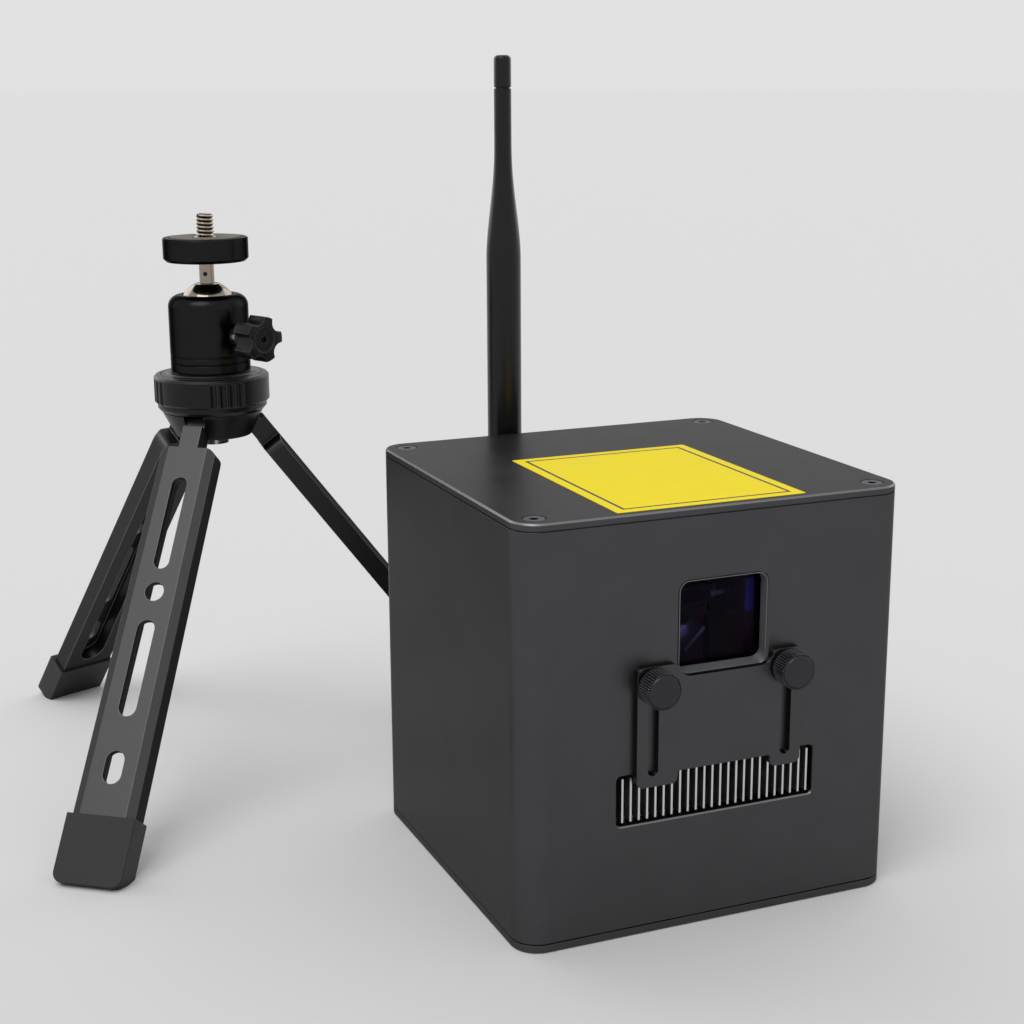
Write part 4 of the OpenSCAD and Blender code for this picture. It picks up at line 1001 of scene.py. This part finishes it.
def screw_thread(
    name: str, radius_mm: float, pitch_mm: float, length_mm: float, place: Matrix
) -> GeometryTree:
    """Makes a tree that winds a triangular thread along a helix.

    Args:
        name: The tree's name.
        radius_mm: The thread's outer radius.
        pitch_mm: The rise of one turn.
        length_mm: The threaded length.
        place: Where the thread starts, in metres.

    Returns:
        The finished tree.
    """
    tooth = pitch_mm * 0.5
    made = GeometryTree(
        name,
        {
            "Turns": length_mm / pitch_mm,
            "Helix radius": (radius_mm - tooth) * MM,
            "Length": length_mm * MM,
            "Tooth": tooth * MM,
            "Start": tuple(place.translation),
        },
    )
    tree, given = made.tree, made.given
    helix = add_node(
        tree,
        "GeometryNodeCurveSpiral",
        {
            "Resolution": 40,
            "Rotations": given["Turns"],
            "Start Radius": given["Helix radius"],
            "End Radius": given["Helix radius"],
            "Height": given["Length"],
        },
    )
    level = add_node(tree, "GeometryNodeSetCurveNormal", {"Curve": helix.outputs["Curve"]}, mode="Z_UP")
    profile = add_node(tree, "GeometryNodeCurvePrimitiveCircle", {"Resolution": 4, "Radius": given["Tooth"]})
    wound = add_node(
        tree,
        "GeometryNodeCurveToMesh",
        {"Curve": level.outputs["Curve"], "Profile Curve": profile.outputs["Curve"], "Fill Caps": True},
    )
    set_place = add_node(
        tree, "GeometryNodeTransform", {"Geometry": wound.outputs["Mesh"], "Translation": given["Start"]}
    )
    made.close(set_place.outputs["Geometry"])
    return made


@dataclass
class Studio:
    """The pale studio, its lamps and the camera at the photograph's angle."""

    azimuth: float = -22.687
    elevation: float = 13.836
    roll: float = -0.306
    distance_mm: float = 522.5
    target_mm: Triple = (-38.17, 0.0, 112.34)
    focal_px: float = 1768.1
    pale: str = "#e1e1e1"
    ambient: float = 0.58
    floor_colour: str = "#ebebeb"
    floor_radius_mm: float = 30000.0

    def camera(self) -> None:
        """Places the camera."""
        back = direction(self.azimuth, self.elevation)
        right = Vector((0, 0, 1)).cross(back).normalized()
        up = back.cross(right)
        roll = math.radians(self.roll)
        across = math.cos(roll) * right + math.sin(roll) * up
        upright = math.cos(roll) * up - math.sin(roll) * right
        data = bpy.data.cameras.new("photo_camera")
        data.sensor_width = SENSOR_WIDTH
        data.lens = self.focal_px * SENSOR_WIDTH / IMAGE_SIDE
        data.clip_start, data.clip_end = 0.01, 200.0
        camera = bpy.data.objects.new("photo_camera", data)
        bpy.context.scene.collection.objects.link(camera)
        place = Matrix((across, upright, back)).transposed().to_4x4()
        place.translation = Vector(self.target_mm) * MM + back * self.distance_mm * MM
        camera.matrix_world = place
        bpy.context.scene.camera = camera

    def world(self) -> None:
        """Lights the object evenly and shows a pale background."""
        world = bpy.data.worlds.new("pale studio")
        bpy.context.scene.world = world
        world.use_nodes = True
        tree = world.node_tree
        seen = add_node(tree, "ShaderNodeLightPath").outputs
        shown = seen["Is Camera Ray"]
        for ray in ("Is Glossy Ray", "Is Transmission Ray"):
            either = add_node(tree, "ShaderNodeMath", {0: shown, 1: seen[ray]}, operation="MAXIMUM")
            shown = either.outputs["Value"]
        levels = {"Value": shown, "To Min": self.ambient, "To Max": 1.0}
        strength = add_node(tree, "ShaderNodeMapRange", levels)
        background = tree.nodes["Background"]
        background.inputs["Color"].default_value = linear(self.pale)
        tree.links.new(strength.outputs["Result"], background.inputs["Strength"])

    def lamp(self, name: str, strength: float, spread: float, azimuth: float, elevation: float) -> None:
        """Hangs one soft, distant lamp.

        Args:
            name: The lamp's name.
            strength: Its light on a surface that faces it.
            spread: The angle that it fills, in degrees, for the softness of its shadows.
            azimuth: The side that it shines from, in degrees.
            elevation: The height that it shines from, in degrees.
        """
        data = bpy.data.lights.new(name, "SUN")
        data.energy = strength
        data.angle = math.radians(spread)
        lamp = bpy.data.objects.new(name, data)
        bpy.context.scene.collection.objects.link(lamp)
        lamp.rotation_euler = direction(azimuth, elevation).to_track_quat("Z", "Y").to_euler()

    def floor(self) -> None:
        """Lays the plain pale floor."""
        shape = bmesh.new()
        bmesh.ops.create_circle(shape, cap_ends=True, segments=96, radius=self.floor_radius_mm * MM)
        floor = mesh_object("floor", shape)
        material = bpy.data.materials.new("Studio floor, matt paint")
        material.use_nodes = True
        shader = material.node_tree.nodes["Principled BSDF"]
        shader.inputs["Base Color"].default_value = linear(self.floor_colour)
        shader.inputs["Roughness"].default_value = 0.9
        shader.inputs["Specular IOR Level"].default_value = 0.1
        floor.data.materials.append(material)

    def build(self) -> None:
        """Sets the whole studio up."""
        bpy.context.scene.view_settings.view_transform = "Standard"
        self.camera()
        self.world()
        self.floor()
        self.lamp("key", 1.0, 40, azimuth=-50, elevation=58)
        self.lamp("left strip", 0.6, 50, azimuth=-150, elevation=14)
        self.lamp("right strip", 0.5, 50, azimuth=112, elevation=14)
        self.lamp("rear", 0.3, 60, azimuth=170, elevation=50)


@dataclass
class Housing:
    """The cube: sleeve, plates, their screws and the bare label on top."""

    label_low: Point = (-30.5, -55.0)
    label_high: Point = (28.3, 18.3)
    label_corner_r: float = 0.6
    screw_head_r: float = 3.4
    socket_mm: float = 0.3
    film_mm: float = 0.12
    ink_mm: float = 0.02
    keyline_inset: float = 3.0
    keyline_width: float = 0.9
    keyline_corner_r: float = 0.3
    body: str = "projector"

    def build(self) -> None:
        """Dresses the CAD pieces and adds the label."""
        dress(HOUSING_BLACK, ("sleeve", "top_plate", "bottom_plate"))
        for node, side in (("top_screws", -1), ("bottom_screws", 1)):
            low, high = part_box(node)
            face = (high.z if side < 0 else low.z) / MM
            # The sockets below the heads' faces get a near-black painted shade, and each head's rim gets a
            # painted shadow line.
            screws = ScrewHeads(
                f"Steel, black oxide, oiled socket, {node}",
                "#77777a",
                0.3,
                metallic=1.0,
                edge_tint="#c8c8c8",
                face_mm=face + side * self.socket_mm,
                side=side,
                far_colour="#060606",
                centre=(high.x / MM - self.screw_head_r, high.y / MM - self.screw_head_r),
            )
            dress(screws, (node,))
        self.label()

    def label(self) -> None:
        """Sticks the plain yellow label on, with nothing but its printed keyline."""
        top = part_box("top_plate")[1].z / MM
        outline = round_rect(self.label_low, self.label_high, self.label_corner_r, 4)
        film = sheet_piece("label_film", [outline], self.film_mm, shifted(0, 0, top))
        finish_piece(film, LABEL_YELLOW, self.body)
        loops = []
        for inset in (self.keyline_inset, self.keyline_inset + self.keyline_width):
            low = (self.label_low[0] + inset, self.label_low[1] + inset)
            high = (self.label_high[0] - inset, self.label_high[1] - inset)
            loops.append(round_rect(low, high, self.keyline_corner_r, 3))
        ink = sheet_piece("label_keyline", loops, self.ink_mm, shifted(0, 0, top + self.film_mm))
        finish_piece(ink, LABEL_INK, self.body)


@dataclass
class Shutter:
    """The masking plate over the window and its two knurled thumb screws."""

    head_r: float = 5.3
    head_l: float = 6.5
    shank_r: float = 1.45
    shank_bevel: float = 0.3
    edge: float = 0.7
    rim: float = 0.3
    ridge_count: int = 42
    ridge_r: float = 0.3
    ridge_h: float = 0.51
    tone_margin_mm: float = 0.06
    bodies: tuple[str, str] = ("left_thumb_screw", "right_thumb_screw")
    nodes: tuple[str, str] = ("thumb_screw_left", "thumb_screw_right")

    def build(self) -> None:
        """Dresses the plate and makes both thumb screws."""
        dress(HOUSING_BLACK, ("shutter_plate",))
        for body, node in zip(self.bodies, self.nodes):
            self.thumb_screw(body, node)

    def thumb_screw(self, body: str, node: str) -> None:
        """Makes a turned head with a fine straight knurl, and its plain shank.

        Args:
            body: The body that turns.
            node: The CAD node that the piece stands for.
        """
        low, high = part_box(node)
        middle = (low + high) / 2
        centre = (middle.x / MM, high.y / MM, middle.z / MM)
        length = (high.y - low.y) / MM
        back = length - self.head_l
        valley = self.head_r - self.ridge_h
        place = shifted(*centre) @ rotated(90, "X")
        bevel = self.shank_bevel
        profile = [(0, 0), (self.shank_r - bevel, 0), (self.shank_r, bevel), (self.shank_r, back)]
        profile += [(valley - self.edge, back), (valley, back + self.edge), (valley, length - self.rim)]
        profile += [(valley - self.rim, length), (0, length)]
        # Blackened steel: the knurl's sides are paler, and its grooves darker with their depth.
        finish = TurnedFace(
            f"Steel, turned and blackened, {body.split('_')[0]}",
            "#3d3d40",
            0.28,
            metallic=1.0,
            edge_tint="#d0d0d0",
            grain=Grain.TURNED,
            grain_depth_mm=0.02,
            edge_mm=0.1,
            centre=centre,
            root_mm=valley,
            crest_mm=self.head_r - self.tone_margin_mm,
            end_share=0.6,
        )
        head = mesh_object(node + "_turned", turned(profile, 96, place))
        knurl = ring_of_bars(
            node + " knurl",
            self.ridge_count,
            self.head_r - self.ridge_r,
            self.ridge_r,
            self.head_l - self.edge - self.rim,
            4,
            place @ shifted(0, 0, back + (self.head_l + self.edge - self.rim) / 2),
        )
        knurl.apply(head, finish)
        finish_piece(head, finish, body, (node,))


@dataclass
class Optics:
    """The window, the scanning optics behind it and the cooling under them."""

    strip_low: Point = (14.1, 88.6)
    strip_high: Point = (23.4, 98.6)
    strip_mm: float = 1.0
    strip_corner_r: float = 0.6
    bezel_l: float = 3.2
    bezel_lap: float = 0.2
    bezel_lip: float = 0.03
    bezel_set: float = 0.35
    bezel_inset: float = 0.15
    sill_rise: float = 1.0
    bezel_r: float = 3.0
    window_low: Point = (-12.2, 76.3)
    window_high: Point = (15.2, 102.7)
    body: str = "projector"

    def bezel(self) -> None:
        """Lines the window's opening with a thin frame whose sill rises towards the glass."""
        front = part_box("sleeve")[0].y / MM + self.bezel_set
        section = (
            (-self.bezel_lap, -self.bezel_lap, 0.0),
            (self.bezel_lip, self.bezel_lip, 0.0),
            (self.bezel_inset, self.sill_rise, self.bezel_l),
            (-self.bezel_lap, -self.bezel_lap, self.bezel_l),
        )
        loops = []
        for inset, sill, depth in section:
            low = (self.window_low[0] + inset, self.window_low[1] + sill)
            high = (self.window_high[0] - inset, self.window_high[1] - inset)
            outline = round_rect(low, high, self.bezel_r - inset, 10)
            loops.append([Vector((x, front + depth, z)) * MM for x, z in outline])
        bezel = mesh_object("window_bezel", stacked(loops, ring=True))
        # The bezel's pale grey is painted light on the walls of the window's opening.
        finish_piece(bezel, BEZEL_LIT_GREY, self.body)

    def clamp_strip(self) -> None:
        """Lays the blue clamp strip on the front of the scanner's block, in the corner of the window."""
        place = shifted(0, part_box("galvo_block")[0].y / MM, 0) @ rotated(90, "X")
        outline = round_rect(self.strip_low, self.strip_high, self.strip_corner_r, 4)
        strip = sheet_piece("scanner_clamp_strip", [outline], self.strip_mm, place)
        finish_piece(strip, BLUE_ANODISED, self.body)

    def build(self) -> None:
        """Dresses the optics and the heat sink."""
        self.clamp_strip()
        self.bezel()
        dress(WINDOW, ("window_glass",))
        dress(GASKET, ("window_gasket",))
        dress(MILLED_ALUMINIUM, ("heat_sink", "laser_block", "mirror_posts", "base_pillars"))
        dress(HEAD_BLACK, ("optics_base",))
        dress(PLUM_ANODISED, ("galvo_block",))
        dress(BRASS, ("diode_barrels",))
        dress(DICHROIC, ("combining_mirrors",))
        dress(SCAN_MIRROR, ("galvo_mirror_x", "galvo_mirror_y"))
        dress(BLACK_OXIDE, ("galvo_motor_x", "galvo_motor_y"))


@dataclass
class Boards:
    """The circuit boards inside and their spacers."""

    board_mm: float = 1.6

    def build(self) -> None:
        """Dresses each board with green mask and black parts."""
        sides = {
            "galvo_driver_board": (0, -1, True),
            "laser_driver_board": (0, 1, False),
            "power_board": (2, 1, False),
            "main_board": (1, -1, True),
        }
        for node, (axis, side, from_high) in sides.items():
            low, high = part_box(node)
            edge = high[axis] / MM - self.board_mm if from_high else low[axis] / MM + self.board_mm
            # Solder mask is a deep green with a gloss, and the parts that stand on it are black.
            finish = TwoLevel(
                f"Circuit board, {node}", "#1c4a33", 0.35, grain_mm=0.6, axis=axis, face_mm=edge, side=side
            )
            dress(finish, (node,))
        dress(NICKEL, ("board_spacers",))


@dataclass
class RearPanel:
    """The fan, the sockets, the switch and the key lock on the back."""

    rocker_lean: float = 7.0
    half_h: float = 7.4
    face_valley: float = 2.0
    face_peak: float = 3.4
    mark_mm: float = 0.04
    ring_r: Point = (1.9, 1.4)
    ring_step_degrees: float = 15.0
    bar_half: Point = (0.25, 1.9)
    bar_corner_r: float = 0.1

    def marks(self) -> None:
        """Prints the plain bar and ring on the rocker's two halves."""
        rocker = Matrix.Translation(joint_point("switch_rock")) @ rotated(self.rocker_lean, "X")
        lean = math.degrees(math.atan2(self.face_peak - self.face_valley, self.half_h))
        middle = (self.face_valley + self.face_peak) / 2
        last = 360 - self.ring_step_degrees
        ring = [arc((0, 0), radius, 0, last, round(last / self.ring_step_degrees)) for radius in self.ring_r]
        half_w, half_l = self.bar_half
        bar = [round_rect((-half_w, -half_l), (half_w, half_l), self.bar_corner_r, 2)]
        for name, loops, side in (("rocker_mark_off", ring, -1), ("rocker_mark_on", bar, 1)):
            place = rocker @ shifted(0, middle, side * self.half_h / 2) @ rotated(-90 - side * lean, "X")
            mark = sheet_piece(name, loops, self.mark_mm, place)
            finish_piece(mark, WHITE_INK, "rocker")

    def build(self) -> None:
        """Dresses the rear pieces."""
        self.marks()
        dress(ABS_BLACK, ("fan_frame", "fan_rotor", "power_jack", "network_jack"))
        dress(GLOSS_BLACK, ("switch_housing", "switch_rocker"))
        dress(BLACK_OXIDE, ("rear_screws",))
        dress(NICKEL, ("key_lock", "key", "data_connector"))


@dataclass
class Antenna:
    """The rod antenna on its swivelling knuckle, with the smooth shoulder of its moulded sheath."""

    rod_l: float = 162.0
    rod_r: float = 5.65
    rod_base: float = 6.5
    shoulder_z: float = 97.0
    tip_r: float = 2.8
    taper_l: float = 39.0
    taper_steps: int = 24
    taper_fullness: float = 1.3
    base_bevel: float = 1.0
    cap_l: float = 10.0
    cap_r: float = 1.4
    seam_l: float = 0.5
    seam_depth: float = 0.4
    seam_edge: float = 0.1
    tang_r: float = 4.6
    tang_w: float = 4.4
    pin_r: float = 1.2
    pin_l: float = 10.0
    web_l: float = 7.3
    crease_degrees: float = 24.0

    def profile(self) -> list[Point]:
        """Lists the sheath's outline, from its base up past the shoulder to the cap.

        Returns:
            Radius and height pairs in millimetres, from the hinge's axis.
        """
        base, bevel = self.rod_base, self.base_bevel
        points = [(0, base), (self.rod_r - bevel, base), (self.rod_r, base + bevel)]
        for i in range(self.taper_steps + 1):
            share = i / self.taper_steps
            eased = share * share * (3 - 2 * share)
            narrowed = 1 - (1 - eased) ** self.taper_fullness
            radius = self.rod_r + (self.tip_r - self.rod_r) * narrowed
            points.append((radius, self.shoulder_z + self.taper_l * share))
        seam, root = self.rod_l - self.cap_l, self.tip_r - self.seam_depth
        below = seam - self.seam_l
        points += [(self.tip_r, below), (root, below + self.seam_edge)]
        points += [(root, seam), (self.tip_r, seam + self.seam_edge)]
        points += arc((self.tip_r - self.cap_r, self.rod_l - self.cap_r), self.cap_r, 0, 90, 6)
        return [*points, (0, self.rod_l)]

    def build(self) -> None:
        """Dresses the knuckle and makes the sheath with its hinge tang."""
        dress(GOLD_PLATE, ("antenna_socket",))
        dress(ABS_BLACK, ("antenna_knuckle",))
        hinge = Matrix.Translation(joint_point("antenna_tilt"))
        sideways = hinge @ rotated(90, "Y")
        shape = turned(self.profile(), 64, hinge)
        for radius, width, steps in ((self.tang_r, self.tang_w, 48), (self.pin_r, self.pin_l, 24)):
            disc = round_bar(radius, -width / 2, width / 2, steps, sideways)
            spare = bpy.data.meshes.new("disc")
            disc.to_mesh(spare)
            disc.free()
            shape.from_mesh(spare)
            bpy.data.meshes.remove(spare)
        size = Matrix.Diagonal((self.tang_w * MM, 2 * self.tang_r * MM, self.web_l * MM, 1))
        bmesh.ops.create_cube(shape, size=1.0, matrix=hinge @ shifted(0, 0, self.web_l / 2) @ size)
        sheath = mesh_object("antenna_sheath", shape, self.crease_degrees)
        finish_piece(sheath, SHEATH_BLACK, "antenna", ("antenna_rod",))


@dataclass
class TripodHead:
    """The ball head, its clamp knob, the platform and its screw."""

    thread_r: float = 3.175
    thread_pitch: float = 1.27
    thread_l: float = 7.6
    thread_lead: Point = (0.35, 0.4)
    core_r: float = 2.55
    core_round: float = 0.5
    shoulder_r: float = 3.775
    shoulder_bevel: float = 0.2
    tone_margin_mm: float = 0.12
    knob_r: float = 7.6
    knob_l: float = 13.0
    knob_start: float = 16.0
    knob_bearing: float = -65.0
    knob_steps: int = 150
    lobe_count: int = 5
    lobe_turn: float = 20.0
    hollow_r: float = 3.3
    hollow_depth: float = 2.2
    neck_r: float = 4.9
    neck_l: float = 4.6
    lobe_back: Point = (1.4, 0.9)
    lobe_front: tuple[Point, Point] = ((0.15, 0.38), (0.5, 0.5))
    dish_r: float = 4.0
    dish_depth: float = 0.5
    dish_bevel: float = 0.2
    hole_r: float = 1.2
    hole_depth: float = 2.0
    ferrule_r: float = 3.7
    ferrule_l: float = 3.2
    ferrule_laps: Point = (1.0, 0.3)
    pin_height: float = 11.9
    pin_bearing: float = -115.0
    pin_r: float = 0.66
    pin_l: float = 3.6

    def build(self) -> None:
        """Dresses the head and makes its screw, the black plug of painted shade in the stem's hole, and its
        knob.
        """
        dress(HEAD_BLACK, ("ball_housing", "platform_disc", "head_base"))
        dress(NYLON, ("lock_collar", "tripod_hub"))
        dress(NICKEL, ("clamp_shank", "ball_stem"))
        dress(CORK_PAD, ("platform_pad",))
        self.camera_screw()
        self.stem_hole_shade()
        self.knob()

    def star(self, inset: float) -> list[float]:
        """Lists the grip's radius round its axis: a circle with a round hollow for each finger.

        Args:
            inset: How far the outline stays inside the grip's largest one, in millimetres.

        Returns:
            A radius in millimetres for each step round the axis.
        """
        reach = self.knob_r + self.hollow_r - self.hollow_depth
        pitch = math.tau / self.lobe_count
        radii = []
        for i in range(self.knob_steps):
            angle = math.tau * i / self.knob_steps - math.radians(self.lobe_turn)
            off = (angle % pitch) - pitch / 2
            chord = self.hollow_r**2 - (reach * math.sin(off)) ** 2
            cut = reach * math.cos(off) - math.sqrt(chord) if chord > 0 else self.knob_r
            radii.append(min(self.knob_r, cut) - inset)
        return radii

    def knob(self) -> None:
        """Makes the clamp's knob: a lobed grip on a round neck, with a plated ferrule at the housing."""
        middle = Matrix.Translation(joint_point("clamp_turn"))
        place = middle @ rotated(self.knob_bearing, "Z") @ rotated(90, "Y")
        first, last = self.knob_start + self.neck_l, self.knob_start + self.knob_l
        neck_end = self.knob_start + self.ferrule_l
        back_inset, back_l = self.lobe_back
        (edge_inset, edge_l), (face_inset, face_l) = self.lobe_front
        dish = last - self.dish_depth
        rows: list[tuple[float, float | list[float]]] = [
            (neck_end, self.neck_r),
            (first, self.neck_r),
            (first, self.star(back_inset)),
            (first + back_l, self.star(0.0)),
            (last - face_l, self.star(0.0)),
            (last - face_l + edge_l, self.star(edge_inset)),
            (last, self.star(face_inset)),
            (last, self.dish_r + self.dish_bevel),
            (dish, self.dish_r),
            (dish, self.hole_r),
            (last - self.hole_depth, self.hole_r),
        ]
        loops = []
        for height, radius in rows:
            radii = radius if isinstance(radius, list) else [radius] * self.knob_steps
            loop = []
            for i, reach in enumerate(radii):
                angle = math.tau * i / self.knob_steps
                local = Vector((reach * math.cos(angle), reach * math.sin(angle), height))
                loop.append(place @ (local * MM))
            loops.append(loop)
        grip = mesh_object("clamp_grip", stacked(loops))
        finish_piece(grip, NYLON, "clamp", ("clamp_knob",))
        into_housing, into_neck = self.ferrule_laps
        ferrule = round_bar(self.ferrule_r, self.knob_start - into_housing, neck_end + into_neck, 48, place)
        finish_piece(mesh_object("clamp_ferrule", ferrule), NICKEL, "clamp")

    def stem_hole_shade(self) -> None:
        """Sets a black plug in the stem's cross hole, a little below its surface, as painted shade in the
        hole.
        """
        middle = Matrix.Translation(joint_point("ball_tilt")) @ shifted(0, 0, self.pin_height)
        place = middle @ rotated(self.pin_bearing, "Z") @ rotated(90, "Y")
        shape = round_bar(self.pin_r, -self.pin_l / 2, self.pin_l / 2, 24, place)
        finish_piece(mesh_object("stem_hole_shade", shape), NYLON, "ball")

    def camera_screw(self) -> None:
        """Makes the 1/4 inch screw: a bevelled core with a helical thread."""
        low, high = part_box("camera_screw")
        length = (high.z - low.z) / MM
        middle = (low + high) / 2
        place = Matrix.Translation((middle.x, middle.y, low.z))
        start = length - self.thread_l
        shoulder, bevel, dome = self.shoulder_r, self.shoulder_bevel, self.core_round
        core = [(0, 0), (shoulder, 0), (shoulder, start - bevel), (shoulder - bevel, start)]
        core += [(self.core_r, start), *arc((self.core_r - dome, length - dome), dome, 0, 90, 6), (0, length)]
        screw = mesh_object("camera_screw_threaded", turned(core, 64, place))
        below, above = self.thread_lead
        thread = screw_thread(
            "camera screw thread",
            self.thread_r,
            self.thread_pitch,
            self.thread_l - below - above,
            place @ shifted(0, 0, start + below),
        )
        # The plated thread's sides get a painted highlight, and its grooves a painted shade that darkens with
        # depth.
        finish = Cut(
            "Nickel plate, threaded",
            "#b8afa2",
            0.16,
            metallic=1.0,
            grain=Grain.POLISHED,
            grain_mm=1.5,
            grain_depth_mm=0.001,
            edge_mm=0.1,
            centre=(middle.x / MM, middle.y / MM, 0.0),
            axis=2,
            root_mm=self.core_r + self.tone_margin_mm,
            crest_mm=self.thread_r - self.tone_margin_mm,
            crest_colour="#cfc5b6",
            groove_colour="#1d1a17",
        )
        thread.apply(screw, finish)
        finish_piece(screw, finish, "platform", ("camera_screw",))


@dataclass
class TripodLegs:
    """The three folding legs, their feet and pins."""

    names: tuple[str, str, str] = ("front", "left", "right")
    bearings: Triple = (-126.8, 113.2, -6.8)
    # Each leg's flanks get a painted shade of their own.
    sides: tuple[str, str, str] = ("#454546", "#4a4a4b", "#3a3a3b")
    spread: float = 36.83

    def leg(self, name: str, bearing: float, flank_shade: str) -> None:
        """Dresses one leg.

        Args:
            name: Which leg.
            bearing: Its direction from the hub in degrees, from +X.
            flank_shade: The painted shade on its flanks.
        """
        outward = tuple(direction(bearing + 90, self.spread))
        # Blasting leaves the bar an even satin black. Its edges get a paler painted highlight, and its flanks
        # a painted shade.
        finish = MilledBar(
            f"Black anodised aluminium, milled bar, {name}",
            "#4a4a4b",
            0.42,
            metallic=1.0,
            edge_tint="#9c9c9c",
            grain=Grain.BLASTED,
            grain_mm=0.5,
            grain_depth_mm=0.006,
            edge_mm=0.35,
            edge_highlight="#85858a",
            outward=outward,
            flank_shade=flank_shade,
        )
        dress(finish, (f"leg_{name}",))

    def build(self) -> None:
        """Dresses the legs."""
        for name, bearing, flank_shade in zip(self.names, self.bearings, self.sides):
            self.leg(name, bearing, flank_shade)
        dress(RUBBER, [f"foot_{name}" for name in self.names])
        dress(BLACK_OXIDE, ("leg_pins",))
        dress(BRIGHT_STEEL, ("hub_bolt",))


class Assembly(Protocol):
    """What the scene asks of each sub-assembly."""

    def build(self) -> None:
        """Makes its pieces and dresses them."""


@dataclass
class Scene:
    """Everything, in the order that it is built."""

    assemblies: list[Assembly] = field(
        default_factory=lambda: [
            Studio(),
            Housing(),
            Shutter(),
            Optics(),
            Boards(),
            RearPanel(),
            Antenna(),
            TripodHead(),
            TripodLegs(),
        ]
    )

    def build(self) -> None:
        """Builds each sub-assembly and reports it."""
        for assembly in self.assemblies:
            assembly.build()
            LOG.info("%s done", type(assembly).__name__)


def main() -> None:
    logging.basicConfig(level=logging.INFO, format="%(name)s: %(message)s")
    Scene().build()
    bpy.context.view_layer.update()


if __name__ == "__main__":
    main()
